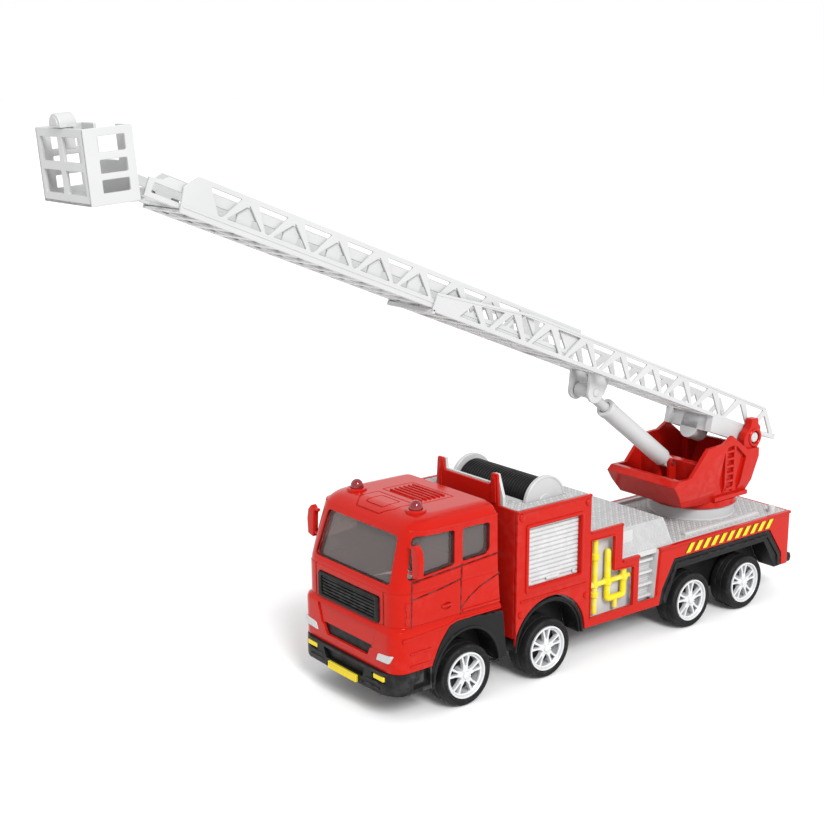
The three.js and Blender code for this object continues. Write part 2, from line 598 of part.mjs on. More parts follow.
// The bracket under the base section's root: two cheeks, a plate between them and a round-nosed stop.
function baseRoot() {
  const cheeks = SIDES.map(([, sign]) => sidePrism(
    [[33.4, 3.6], [32, -5.2], ...arc(0, 0, 4.6, 4.6, 270, 180, 5), [-8, 3.6]], 12.6 * sign, 16.9 * sign));
  const plate = box(29, 30.6, -16.4, 16.4, -5.2, 3.6);
  const stop = frontPrism([[6, 3.6], ...arc(0, -5, 6, 6, 0, -180, 10), [-6, 3.6]], 20, 30.6);
  return [...cheeks, plate, stop];
}

function strutEars() {
  const { s, n } = STRUT_HEAD;
  const outline = [[s - 7.2, 3.6], [s - 6.2, -5], ...arc(s, n, 5.6, 5.6, 180, 360, 8), [s + 8.2, 3.6]];
  const ears = SIDES.map(([, sign]) => sidePrism(outline, 5.9 * sign, 7.6 * sign));
  const bosses = SIDES.map(([, sign]) => rodAlongY(s, n, 1.7, 7 * sign, 8.2 * sign, 12));
  return [...ears, ...bosses];
}

function addBaseSection(ladder) {
  const half = 16.9;
  const floor = 3.3;
  const outline = [[-26.6, floor], [247, floor], [247, 12], [185.6, 18.8], [-10.4, 18.8]];
  const lip = box(245.6, 247, -half, half, 2.3, 4.4);
  const bore = rodAlongY(0, 0, 3.1, -20, 20, 20);
  const whole = join(channel(outline, half, floor), lip, baseRoot(), strutEars());
  const section = cut(whole, baseWindows(), rungWindows(239, 11.9, 18, half - SIDE_WALL, floor), bore);
  add(ladder, 'ladder_base', section, WHITE);
  add(ladder, 'ladder_trunnion_pin', rodAlongY(0, 0, 2.8, -20.6, 20.6, 20), WHITE);
}

function addMiddleSection(ladder) {
  const half = 15.4;
  const floor = 4.8;
  const outline = [[150, floor], [382.4, floor], [383.8, 14.8], [378.5, 20.8], [150, 20.8]];
  const section = cut(channel(outline, half, floor), trussWindows(364.6, 23.4, 9, 9, 18.6),
    rungWindows(376, 11.7, 19, half - SIDE_WALL, floor));
  add(ladder, 'ladder_middle', section, WHITE);
}

function addFlySection(ladder) {
  const half = 13.9;
  const floor = 6.3;
  const end = 398.4;
  const pitch = 23.4;
  const { s, n } = BASKET_PIVOT;
  const outline = [[215, floor], [end, floor], [end, 13.8], [392.8, 14.6], [390.4, 16.5], [215, 16.5]];
  const slots = Array.from({ length: 8 }, (_, i) => 388.4 - pitch * i).map((middle) =>
    throughSides(rectangle(middle - 8.6, middle + 7.4, 8.4, 12.4)));
  const tips = SIDES.map(([, sign]) => sidePrism(
    [[396, floor], [396, 7.9], ...arc(s, n, 2.6, 2.6, 60, -100, 6), [396, 4]], 4.9 * sign, 7 * sign));
  const endFrame = box(end - 2, end, -half, half, floor, 9.4);
  const pinBore = rodAlongY(s, n, 1.4, -9, 9, 12);
  const notch = box(396.7, 400, -4.9, 4.9, 5, 10);
  const whole = join(channel(outline, half, floor), endFrame, tips);
  const section = cut(whole, slots, rungWindows(388, 11.7, 14, half - SIDE_WALL, floor), pinBore, notch);
  add(ladder, 'ladder_fly', section, WHITE);
}

// The ladder's own frame has its origin on the trunnion, +X along the ladder.
function addLadder() {
  const ladder = new THREE.Group();
  ladder.position.set(PIVOT.x, 0, PIVOT.z);
  ladder.rotation.y = -LADDER_PITCH;
  model.add(ladder);
  addBaseSection(ladder);
  addMiddleSection(ladder);
  addFlySection(ladder);
  const basket = new THREE.Group();
  basket.position.set(BASKET_PIVOT.s, 0, BASKET_PIVOT.n);
  basket.rotation.y = LADDER_PITCH - BASKET_PITCH;
  ladder.add(basket);
  addBasket(basket);
}

function basketShell(front, rear, floor, top, half) {
  const wall = 1.4;
  const inside = box(rear + wall, front - wall, -half + wall, half - wall, floor + wall, 40);
  const sideWindows = [[2.6, 8.4], [9.8, 14.6], [17, 23]].map(([low, high]) =>
    box(rear + 5.6, rear + 15.8, -30, 30, floor + low, floor + high));
  const frontWindows = [[3, 12], [14.6, 24]].flatMap(([low, high]) => SIDES.map(([, sign]) =>
    box(front - 3, front + 3, 2.2 * sign, 16.6 * sign, floor + low, floor + high)));
  const gate = box(rear - 1, rear + 3, -9, 9, 14, 40);
  return cut(box(rear, front, -half, half, floor, top), inside, sideWindows, frontWindows, gate);
}

// The basket's own frame has its origin on the pin, +X to its front.
function addBasket(basket) {
  const front = 23.6;
  const rear = 3.4;
  const floor = -0.6;
  const top = 27.7;
  const shell = basketShell(front, rear, floor, top, 20.6);
  const lug = sidePrism([[rear + 0.6, -0.6], ...arc(0, 0, 2.4, 2.4, 270, 90, 6), [rear + 0.6, 4]], -4.5, 4.5);
  const lampPost = box(front - 6, front - 1, -1.2, 1.2, top - 8, top + 0.6);
  const lampOutline = [[-4.8, top + 0.4], [4.8, top + 0.4], ...arc(0, top + 1.2, 4.8, 4.4, 0, 180, 10)];
  const lamp = frontPrism(lampOutline, front - 6, front + 1.4);
  const pinHole = rodAlongY(0, 0, 1.4, -9, 9);
  add(basket, 'basket', cut(join(shell, lug, lampPost, lamp), pinHole), WHITE);
  add(basket, 'basket_pin', rodAlongY(0, 0, 1.1, -7.4, 7.4, 12), STEEL);
}

// ---- lifting strut ------------------------------------------------------------------------
// The strut's own frame has its origin on the foot pin, +X up along the strut.
function addStrut() {
  const head = new THREE.Vector3(STRUT_HEAD.s, 0, STRUT_HEAD.n)
    .applyAxisAngle(new THREE.Vector3(0, 1, 0), -LADDER_PITCH)
    .add(new THREE.Vector3(PIVOT.x, 0, PIVOT.z));
  const foot = new THREE.Vector3(STRUT_FOOT.x, 0, STRUT_FOOT.z);
  const reach = head.distanceTo(foot);
  const strut = new THREE.Group();
  strut.position.copy(foot);
  strut.rotation.y = -Math.atan2(head.z - foot.z, head.x - foot.x);
  model.add(strut);

  const barrel = frontPrism(circle(0, 0, 4.9, 24), 5.5, 63);
  const nose = sidePrism([[7, -3], ...arc(0, 0, 3.2, 3.2, 270, 90, 8), [7, 3]], -2.4, 2.4);
  const bore = frontPrism(circle(0, 0, 3.2, 20), 8.5, 70);
  const pinHole = rodAlongY(0, 0, 1.7, -8, 8);
  add(strut, 'strut_barrel', cut(join(barrel, nose), bore, pinHole), WHITE);
  const rod = frontPrism(circle(0, 0, 2.8, 20), 21.5, reach - 1);
  const eye = rodAlongY(reach, 0, 3.5, -5.1, 5.1, 20);
  add(strut, 'strut_rod', join(rod, eye), WHITE);
  add(model, 'strut_foot_pin', rodAlongY(foot.x, foot.z, 1.4, -5.4, 5.4, 12), STEEL);
}

addWheels();
addChassis();
addFrontBumper();
addFenders();
addCab();
addBodywork();
addHoseReel();
addTurret();
addLadder();
addStrut();
model.position.x = -ORIGIN_X;

export default model;
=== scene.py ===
"""Looks for the toy fire engine with a turntable ladder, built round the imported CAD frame.

All shapes are given in millimetres along the truck: X forward, Y to the vehicle's left, Z up from the
ground. The ladder, basket and strut are drawn in frames of their own, turned as the CAD turns them.
"""

import json
import math

import bmesh
import bpy
from mathutils import Matrix, Vector


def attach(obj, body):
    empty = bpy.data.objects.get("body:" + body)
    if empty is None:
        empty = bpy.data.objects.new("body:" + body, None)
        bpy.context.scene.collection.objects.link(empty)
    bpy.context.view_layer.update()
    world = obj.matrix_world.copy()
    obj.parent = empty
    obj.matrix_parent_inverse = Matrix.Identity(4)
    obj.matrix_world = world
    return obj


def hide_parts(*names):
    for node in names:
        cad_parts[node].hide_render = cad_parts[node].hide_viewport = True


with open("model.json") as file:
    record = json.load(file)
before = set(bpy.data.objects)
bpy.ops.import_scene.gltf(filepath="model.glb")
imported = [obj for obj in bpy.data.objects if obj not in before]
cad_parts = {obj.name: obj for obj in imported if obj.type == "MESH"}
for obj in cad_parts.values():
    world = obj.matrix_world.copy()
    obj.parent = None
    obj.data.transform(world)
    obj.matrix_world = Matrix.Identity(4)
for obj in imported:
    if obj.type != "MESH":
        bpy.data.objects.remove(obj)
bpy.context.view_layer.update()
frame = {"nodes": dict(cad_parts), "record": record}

# ---- driving dimensions, the same as the CAD's ----
ORIGIN_X = -41.53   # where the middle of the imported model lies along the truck
HALF_WIDTH = 37.3
AXLE_X = (-2, -54, -160.2, -204.6)
AXLE_Z = 15
BOX_FRONT_X = -34
BOX_REAR_X = -83.5
STEP_X = -106.9
RECESS_FRONT_X = -119.6
TAIL_X = -244
BOX_TOP_Z = 87.7
PLATFORM_Z = 61.2
DECK_Z = 49
PIPES_Y = 34.4
REEL_X = -60.6
REEL_Z = 85.9
TURRET_X = -203
TURRET_HALF = 24.7
TURNTABLE_RADIUS = 25
LADDER_PITCH = math.radians(21.34)
PIVOT = (-227.5, 91.1)
STRUT_FOOT = (-180, 80.5)
STRUT_HEAD = (118.8, -5.4)
BASKET_PIVOT = (399.5, 5.5)
BASKET_PITCH = math.radians(-5)
SIDES = (("left", 1), ("right", -1))
SIGNS = (1, -1)

TRUCK = Matrix.Scale(0.001, 4) @ Matrix.Translation((-ORIGIN_X, 0, 0))
LADDER = TRUCK @ Matrix.Translation((PIVOT[0], 0, PIVOT[1])) @ Matrix.Rotation(-LADDER_PITCH, 4, "Y")
BASKET = (LADDER @ Matrix.Translation((BASKET_PIVOT[0], 0, BASKET_PIVOT[1]))
          @ Matrix.Rotation(LADDER_PITCH - BASKET_PITCH, 4, "Y"))


# ---- shape helpers ----
def arc(cx, cy, rx, ry, start, end, steps):
    angles = (math.radians(start + (end - start) * i / steps) for i in range(steps + 1))
    return [(cx + rx * math.cos(a), cy + ry * math.sin(a)) for a in angles]


def circle(cx, cy, r, steps):
    return arc(cx, cy, r, r, 0, 360 - 360 / steps, steps - 1)


def rect(a0, a1, b0, b1):
    a0, a1 = min(a0, a1), max(a0, a1)
    return [(a0, b0), (a1, b0), (a1, b1), (a0, b1)]


def mirrored(half):
    return list(half) + [(-a, b) for a, b in reversed(half)]


def bent(start, corner, end, steps):
    """The points of a smooth bend from start to end, pulled towards the corner."""
    return [start * (1 - t) ** 2 + corner * 2 * t * (1 - t) + end * t * t
            for t in (k / steps for k in range(steps + 1))]


def rounded(points, radius, steps=4):
    """The outline with each corner rounded, as far as its edges allow."""
    result = []
    for i, point in enumerate(points):
        corner = Vector(point)
        before = Vector(points[i - 1]) - corner
        after = Vector(points[(i + 1) % len(points)]) - corner
        reach = min(radius, before.length * 0.45, after.length * 0.45)
        start = corner + before.normalized() * reach
        end = corner + after.normalized() * reach
        result += [tuple(spot) for spot in bent(start, corner, end, steps)]
    return result


def baked(shape):
    """The mesh of a bmesh, which is freed."""
    mesh = bpy.data.meshes.new("shape")
    shape.to_mesh(mesh)
    shape.free()
    return mesh


def traced(loops, closed, **settings):
    """The mesh that one curve with these settings makes along the loops of (x, y, z) points."""
    curve = bpy.data.curves.new("outline", "CURVE")
    for key, value in settings.items():
        setattr(curve, key, value)
    for loop in loops:
        spline = curve.splines.new("POLY")
        spline.points.add(len(loop) - 1)
        for spot, place in zip(spline.points, loop):
            spot.co = (*place, 1)
        spline.use_cyclic_u = closed
    helper = bpy.data.objects.new("outline", curve)
    mesh = bpy.data.meshes.new_from_object(helper)
    bpy.data.objects.remove(helper)
    bpy.data.curves.remove(curve)
    return mesh


def slab(loops, low, high, edge):
    """A flat plate in X and Y with holes (loops after the first), from Z low to high, its edges eased."""
    if isinstance(loops[0][0], (int, float)):
        loops = [loops]
    edge = min(edge, (high - low) * 0.45)
    mesh = traced([[(a, b, 0) for a, b in loop] for loop in loops], True, dimensions="2D", fill_mode="BOTH",
                  extrude=(high - low) / 2 - edge, bevel_depth=edge, bevel_resolution=1, offset=-edge)
    mesh.transform(Matrix.Translation((0, 0, (low + high) / 2)))
    return welded(mesh)


def welded(mesh):
    shape = bmesh.new()
    shape.from_mesh(mesh)
    bmesh.ops.remove_doubles(shape, verts=shape.verts, dist=0.004)
    bmesh.ops.recalc_face_normals(shape, faces=shape.faces)
    return baked(shape)


SIDE_TURN = Matrix(((1, 0, 0, 0), (0, 0, -1, 0), (0, 1, 0, 0), (0, 0, 0, 1)))
FRONT_TURN = Matrix(((0, 0, 1, 0), (1, 0, 0, 0), (0, 1, 0, 0), (0, 0, 0, 1)))


def side(loops, y0, y1, edge):
    """A plate drawn in X and Z, thick along Y."""
    low, high = min(y0, y1), max(y0, y1)
    mesh = slab(loops, -high, -low, edge)
    mesh.transform(SIDE_TURN)
    return mesh


def front(loops, x0, x1, edge=0.35):
    """A plate drawn in Y and Z, thick along X."""
    mesh = slab(loops, x0, x1, edge)
    mesh.transform(FRONT_TURN)
    return mesh


def block(x0, x1, y0, y1, z0, z1, edge=0.3):
    shape = bmesh.new()
    bmesh.ops.create_cube(shape, size=1)
    size = Vector((abs(x1 - x0), abs(y1 - y0), abs(z1 - z0)))
    bmesh.ops.scale(shape, vec=size, verts=shape.verts)
    bmesh.ops.translate(shape, vec=((x0 + x1) / 2, (y0 + y1) / 2, (z0 + z1) / 2), verts=shape.verts)
    edge = min(edge, min(size) * 0.4)
    bmesh.ops.bevel(shape, geom=shape.edges[:], offset=edge, segments=2, profile=0.5, affect="EDGES")
    return baked(shape)


def lathe(profile, centre=(0, 0, 0), axis="Y", steps=64):
    """The profile of (radius, along) points turned round an axis through centre. It closes on itself
    unless both its ends lie on the axis."""
    shape = bmesh.new()
    rings = []
    for radius, along in profile:
        if radius < 1e-6:
            rings.append([shape.verts.new((0, 0, along))])
            continue
        turns = (2 * math.pi * k / steps for k in range(steps))
        rings.append([shape.verts.new((radius * math.cos(t), radius * math.sin(t), along)) for t in turns])
    pairs = list(zip(rings, rings[1:]))
    if len(rings[0]) > 1:
        pairs.append((rings[-1], rings[0]))
    for one, two in pairs:
        for k in range(steps):
            n = k + 1
            quad = (one[k % len(one)], one[n % len(one)], two[n % len(two)], two[k % len(two)])
            corners = list(dict.fromkeys(quad))
            if len(corners) > 2:
                shape.faces.new(corners)
    bmesh.ops.recalc_face_normals(shape, faces=shape.faces)
    mesh = baked(shape)
    turns = {"X": FRONT_TURN, "Y": Matrix.Rotation(math.radians(-90), 4, "X"), "Z": Matrix.Identity(4)}
    mesh.transform(Matrix.Translation(centre) @ turns[axis])
    return mesh


def pipe(points, radius, bend=0.0, steps=16):
    """A round tube along points, its corners bent to the given radius."""
    path = [Vector(points[0])]
    for before, corner, after in zip(points, points[1:], points[2:]):
        before, corner, after = Vector(before), Vector(corner), Vector(after)
        start = corner + (before - corner).normalized() * bend
        end = corner + (after - corner).normalized() * bend
        path += bent(start, corner, end, 7) if bend else [corner]
    path.append(Vector(points[-1]))
    return welded(traced([path], False, dimensions="3D", bevel_depth=radius, bevel_resolution=steps // 4,
                         use_fill_caps=True))


def disc(radius, low, high, centre, axis, steps):
    return lathe([(0, low), (radius, low), (radius, high), (0, high)], centre, axis, steps)


def dome(x, y, z, radius, height, axis, sign=1):
    """A round-headed button that stands on a face, straight up to its lip and domed above it."""
    lip, root = 0.5, 0.4
    curve = [(radius * math.cos(a), lip + (height - lip) * math.sin(a))
             for a in (math.radians(15 * k) for k in range(6))]
    profile = [(0, -root), (radius, -root)] + curve + [(0, height)]
    return lathe([(r, sign * t) for r, t in profile], (x, y, z), axis, 28)


def joined(*meshes):
    shape = bmesh.new()
    for mesh in meshes:
        shape.from_mesh(mesh)
    return baked(shape)


def carve(base, tools, operation="DIFFERENCE"):
    """The base mesh after a boolean with the joined tool meshes."""
    target = bpy.data.objects.new("target", base)
    bpy.context.scene.collection.objects.link(target)
    cutters = []
    for tool in tools:
        cutter = bpy.data.objects.new("cutter", tool)
        bpy.context.scene.collection.objects.link(cutter)
        cutters.append(cutter)
        boolean = target.modifiers.new("carve", "BOOLEAN")
        boolean.operation = operation
        boolean.solver = "EXACT"
        boolean.use_self = True
        boolean.object = cutter
    bpy.context.view_layer.update()
    evaluated = target.evaluated_get(bpy.context.evaluated_depsgraph_get())
    result = bpy.data.meshes.new_from_object(evaluated)
    for helper in [target, *cutters]:
        bpy.data.objects.remove(helper)
    return welded(result)


def eased(mesh, width):
    """The mesh with its hard edges rounded."""
    shape = bmesh.new()
    shape.from_mesh(mesh)
    bmesh.ops.dissolve_limit(shape, angle_limit=math.radians(1), verts=shape.verts, edges=shape.edges)
    hard = [e for e in shape.edges if len(e.link_faces) == 2 and e.calc_face_angle(0) > math.radians(32)]
    bmesh.ops.bevel(shape, geom=hard, offset=width, segments=2, profile=0.5, affect="EDGES",
                    clamp_overlap=True)
    return baked(shape)


def piece(name, parts, material, body="truck", nodes=(), slot=None, space=TRUCK, crease=38):
    """One visible piece, made of meshes given in millimetres in the space's own frame."""
    mesh = joined(*(parts if isinstance(parts, (list, tuple)) else [parts]))
    mesh.name = name
    mesh.transform(space)
    mesh.materials.append(material)
    for polygon in mesh.polygons:
        polygon.use_smooth = True
    mesh.set_sharp_from_angle(angle=math.radians(crease))
    thing = bpy.data.objects.new(name, mesh)
    bpy.context.scene.collection.objects.link(thing)
    weighted = thing.modifiers.new("even shading", "WEIGHTED_NORMAL")
    weighted.keep_sharp = True
    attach(thing, body)
    if nodes:
        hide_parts(*nodes)
    slot or material["slot"]


def fine(node, parts, material, body="truck", **options):
    """The finished shape of one CAD node, which it replaces."""
    piece(f"{node}_fine", parts, material, body, [node], **options)


# ---- materials ----
class NodeMaker:
    """Short calls that build one material's node tree."""

    def __init__(self, tree):
        self.tree = tree
        self.place = tree.nodes.new("ShaderNodeTexCoord").outputs["Object"]

    def node(self, kind, output, inputs, **settings):
        """The output of a new node. An input is a socket to link, a number or a colour."""
        node = self.tree.nodes.new("ShaderNode" + kind)
        for key, value in settings.items():
            setattr(node, key, value)
        for key, value in inputs.items():
            if isinstance(value, bpy.types.NodeSocket):
                self.tree.links.new(value, node.inputs[key])
            else:
                node.inputs[key].default_value = (*value, 1) if isinstance(value, tuple) else value
        return node.outputs[output]

    def noise(self, scale, detail):
        return self.node("TexNoise", "Fac", {"Scale": scale, "Detail": detail, "Vector": self.place})

    def spread(self, source, low, high, to_low, to_high):
        return self.node("MapRange", "Result", {"Value": source, "From Min": low, "From Max": high,
                                                "To Min": to_low, "To Max": to_high})

    def product(self, one, two):
        return self.node("Math", "Value", {0: one, 1: two}, operation="MULTIPLY")

    def mix(self, factor, first, second):
        return self.node("Mix", "Result", {"Factor": factor, "A": first, "B": second}, data_type="RGBA")

    def bump(self, strength, distance, **inputs):
        return self.node("Bump", "Normal", {"Strength": strength, "Distance": distance, **inputs})


def moulded_colour(make, colour, tone, edge_highlight, dust):
    """Soft tone changes, paler edges that paint an edge highlight and, if asked for, specks of dust."""
    deeper = tuple(c * (1 - 2 * tone) for c in colour)
    brighter = tuple(min(1, c * (1 + tone)) for c in colour)
    highlight_colour = tuple(min(1, c + (0.85 - c) * edge_highlight) for c in colour)
    base = make.mix(make.spread(make.noise(28, 3), 0.3, 0.7, 0, 1), deeper, brighter)
    sharpness = make.node("NewGeometry", "Pointiness", {})
    edges = make.spread(sharpness, 0.53, 0.62, 0, 1)
    # painted highlight: a paler colour on sharp edges, broken up by noise
    base = make.mix(make.product(edges, make.spread(make.noise(240, 4), 0.42, 0.62, 0, 1)), base, highlight_colour)
    if dust:
        base = make.mix(make.spread(make.noise(420, 6), 0.55, 0.75, 0, dust), base, (0.35, 0.34, 0.33))
    return base


def finish_material(name, slot, colour, roughness, grain=0.04, tone=0.02, edge_highlight=0.05,
                    dust=0.0, metallic=0.0, coat=0.0, transmission=0.0, shine=0.3, tint=(1, 1, 1)):
    """A moulded finish with fine grain in its bump and an uneven gloss."""
    material = bpy.data.materials.new(name)
    material.use_nodes = True
    material["slot"] = slot
    shader = material.node_tree.nodes["Principled BSDF"]
    even = {"Metallic": metallic, "Coat Weight": coat, "Coat Roughness": 0.08,
            "Transmission Weight": transmission, "Specular IOR Level": shine, "IOR": 1.5}
    for socket, value in even.items():
        shader.inputs[socket].default_value = value
    shader.inputs["Specular Tint"].default_value = (*tint, 1)
    make = NodeMaker(material.node_tree)
    gloss = make.spread(make.noise(90, 5), 0.3, 0.7, roughness * 0.85, min(1, roughness * 1.2))
    grains = make.bump(grain, 0.0003, Height=make.noise(900, 4))
    ripple = make.bump(grain * 0.5, 0.0008, Height=make.noise(70, 1), Normal=grains)
    base = moulded_colour(make, colour, tone, edge_highlight, dust)
    for output, socket in ((base, "Base Color"), (gloss, "Roughness"), (ripple, "Normal")):
        material.node_tree.links.new(output, shader.inputs[socket])
    return material


RED = finish_material("red plastic", "red_plastic", (0.42, 0.009, 0.005), 0.16, coat=0.03, edge_highlight=0.02,
                      shine=0.25, tint=(1, 0.35, 0.25))
WHITE = finish_material("white plastic", "white_plastic", (0.47, 0.473, 0.475), 0.36, edge_highlight=0.1)
PALE = finish_material("pale grey plastic", "white_plastic", (0.44, 0.44, 0.445), 0.33, edge_highlight=0.1)
# painted shade: a darker copy of the white plastic for the ground between tread lugs
TREAD_SHADE = finish_material("tread painted shade", "white_plastic", (0.36, 0.36, 0.365), 0.4, edge_highlight=0.1)
DARK = finish_material("dark grey plastic", "black_plastic", (0.008, 0.0082, 0.0085), 0.42, grain=0.1,
                       shine=0.16)
BLACK = finish_material("black plastic", "black_plastic", (0.004, 0.004, 0.004), 0.36, grain=0.06,
                        shine=0.14)
YELLOW = finish_material("yellow plastic", "yellow_plastic", (0.68, 0.53, 0.006), 0.3, edge_highlight=0.1)
SMOKE = finish_material("smoked glazing", "smoked_glazing", (0.33, 0.265, 0.255), 0.04, grain=0.01,
                        tone=0.01, coat=0.2, transmission=0.84)
LENS = finish_material("red lens", "beacon_lens", (0.32, 0.006, 0.01), 0.06, grain=0.02, coat=0.5,
                       transmission=0.5)
TYRE = finish_material("tyre", "tyre", (0.008, 0.008, 0.009), 0.55, grain=0.2, dust=0.04, shine=0.15)
RIM = finish_material("rim", "rim", (0.60, 0.61, 0.62), 0.24, edge_highlight=0.1, metallic=0.2, coat=0.3)
STEEL = finish_material("steel", "steel", (0.56, 0.56, 0.57), 0.3, tone=0.06, metallic=1.0)
STANDING = {"red_plastic": RED, "white_plastic": WHITE, "black_plastic": DARK, "yellow_plastic": YELLOW,
            "smoked_glazing": SMOKE, "beacon_lens": LENS, "tyre": TYRE, "rim": RIM, "steel": STEEL}


def finish_cad_nodes():
    """Each CAD node takes the finish of its slot, which shows on those that keep their shape."""
    for entry in frame["record"]["subparts"]:
        node = frame["nodes"][entry["node"]]
        node.data.materials.clear()
        node.data.materials.append(STANDING[entry["material_slot"]])


# ---- wheels ----
def tyre_shape():
    inside = [(11.65, 26.5), (12.4, 26.05), (14.0, 26.1), (14.6, 26.5), (14.92, 27.2), (15, 28.2)]
    grooves = [p for y in (30.3, 33.9) for p in ((15, y), (14.75, y + 0.2), (14.75, y + 0.7), (15, y + 0.9))]
    outside = [(15, 37), (14.92, 37.8), (14.6, 38.5), (14.1, 38.82), (13.2, 38.86), (12.9, 38.7),
               (12.6, 38.86), (12.1, 38.8), (11.65, 38.5)]
    return lathe(inside + grooves + outside, steps=72)


def double_spoke(turn):
    """One spoke split by a slot, pointing along the angle turn."""
    spin = Matrix.Rotation(turn, 2)
    edge = [(2.4, -1.5), (5.6, -1.55), (9.0, -2.6), (10.3, -3.3)]
    outer = edge + [(a, -b) for a, b in reversed(edge)]
    slot = rounded([(4.7, -0.32), (9.7, -1.45), (9.7, 1.45), (4.7, 0.32)], 0.4)
    return side([[tuple(spin @ Vector(p)) for p in loop] for loop in (outer, slot)], 35.6, 37.9, 0.3)


def rim_shape():
    ring = lathe([(9.9, 27.5), (11.25, 27.5), (11.3, 38.4), (11.2, 38.85), (10.95, 39.02), (10.55, 39.02),
                  (10.3, 38.8), (10.2, 38.3), (10.05, 37.4), (9.9, 36.6)], steps=72)
    inner_ring = lathe([(9.2, 36.7), (10.1, 36.7), (10.1, 37.9), (9.7, 38.0), (9.2, 37.6)], steps=72)
    hub = lathe([(0, 34), (3.3, 34), (3.3, 37.6), (3.0, 38.0), (1.9, 38.15), (1.7, 38.8), (1.3, 39.0),
                 (0, 39.02)])
    core = lathe([(1.8, 28), (2.9, 28), (2.9, 35), (1.8, 35)], steps=32)
    spokes = [double_spoke(math.radians(72 * i + 18)) for i in range(5)]
    nuts = [dome(2.65 * math.cos(t), 37.9, 2.65 * math.sin(t), 0.42, 0.6, "Y")
            for t in (math.radians(72 * i + 54) for i in range(5))]
    return joined(ring, inner_ring, hub, core, *spokes, *nuts)


def add_wheels():
    tyre, rim = tyre_shape(), rim_shape()
    # painted shade: a black disc behind the spokes darkens the gaps between them
    spoke_shade_disc = lathe([(2.5, 31.4), (10.0, 31.4), (10.0, 32.2), (2.5, 32.2)], steps=48)
    for i, x in enumerate(AXLE_X, 1):
        for name, sign in SIDES:
            facing = Matrix.Rotation(0 if sign > 0 else math.pi, 4, "Z")
            space = TRUCK @ Matrix.Translation((x, 0, AXLE_Z)) @ facing
            body = f"wheels_{i}"
            fine(f"tyre_{name}_{i}", tyre, TYRE, body, space=space)
            fine(f"rim_{name}_{i}", rim, RIM, body, space=space)
            piece(f"wheel_shade_{name}_{i}", spoke_shade_disc, BLACK, body, slot="rim", space=space)


# ---- cab ----
def ring_at(rear, nose, half, corner, z):
    """One level outline of the cab: flat rear, straight sides, rounded front corners and a bowed nose."""
    sweep = [(nose - corner + corner * math.cos(a), half - corner + corner * math.sin(a))
             for a in (math.radians(90 - 7.5 * k) for k in range(13))]
    bow = 0.35
    across = [(nose + bow * (1 - (y / half) ** 2), y) for y in (half * 0.68, half * 0.45, half * 0.2, 0)]
    left = [(rear, 0), (rear, half * 0.6), (rear, half - 0.8), (rear + 0.8, half)]
    left += [(rear + (nose - corner - rear) * k / 6, half) for k in range(1, 6)] + sweep + across
    right = [(x, -y) for x, y in reversed(left[1:-1])]
    return [(x, y, z) for x, y in left + right]


def stacked(levels):
    """A closed solid through level rings."""
    shape = bmesh.new()
    rings = [[shape.verts.new(p) for p in ring_at(*level)] for level in levels]
    for one, two in zip(rings, rings[1:]):
        for k in range(len(one)):
            n = (k + 1) % len(one)
            shape.faces.new((one[k], one[n], two[n], two[k]))
    shape.faces.new(rings[-1])
    shape.faces.new(list(reversed(rings[0])))
    bmesh.ops.recalc_face_normals(shape, faces=shape.faces)
    return baked(shape)


CAB_LEVELS = (  # rear, nose, half width, front corner, height
    (-25.3, 38.6, 37.3, 7.5, 24.5), (-25.2, 38.9, 37.3, 7.5, 41.8), (-25.1, 38.8, 37.25, 7.5, 43.2),
    (-24.9, 38.3, 36.9, 7.5, 44.3), (-24.8, 37.3, 36.1, 7.8, 45.1), (-24.7, 37.0, 36.0, 8, 45.6),
    (-24.6, 37.2, 36.7, 8.8, 46.1), (-23.2, 37.3, 36.9, 9, 61.2), (-23.1, 36.8, 36.6, 9, 61.7),
    (-23, 36.9, 36.8, 9, 62.3), (-22.8, 36.6, 37.0, 9, 63.4), (-22.4, 34.8, 37.2, 9, 69),
    (-21.9, 29.3, 37.3, 10, 86.6), (-21.8, 28.4, 37.3, 10, 88.9), (-21.8, 28.1, 36.7, 10, 89.5),
    (-21.7, 27.7, 36.4, 10, 90), (-21.6, 26.4, 35.5, 10, 91.4), (-21.4, 24.3, 34.2, 10, 92.8),
    (-21.2, 22.4, 32.4, 10, 93.6), (-21, 19.8, 29.8, 10, 94.3), (-20.8, 17.8, 27.6, 10, 94.6),
)
GLASS_LEVELS = (
    (-19.4, 34.1, 35, 8, 62.6), (-19.4, 34.1, 35, 8, 64.2), (-19, 27, 35, 8.5, 86.2),
    (-18.8, 24.8, 34.2, 9, 89.2), (-18.4, 17.2, 27.2, 9, 92.2),
)
WINDSCREEN = [(-29.1, 64.9), (29.1, 64.9), (27, 86.6), (-27, 86.6)]
SIDE_WINDOWS = (
    [(31.2, 68), (4.7, 70.4), (4.7, 87.1), (25.4, 87.6), (27, 86.2)],
    [(0, 71), (-14.4, 71.6), (-16.5, 73.6), (-16.5, 86.7), (0, 87)],
)
ARCH_TOP = [(17.5, 24.4), (13.3, 33.7), (7.4, 41), (3.2, 43.4), (-25.3, 42.8)]
BEACON = (15.6, 22.6)


def window_tools():
    """Solids that pass through the windscreen and the four side windows."""
    panes = [side(rounded(outline, 1.8), 30 * s, 42 * s, 0) for s in SIGNS for outline in SIDE_WINDOWS]
    return joined(front(rounded(WINDSCREEN, 2.6), 20, 45, 0), *panes)


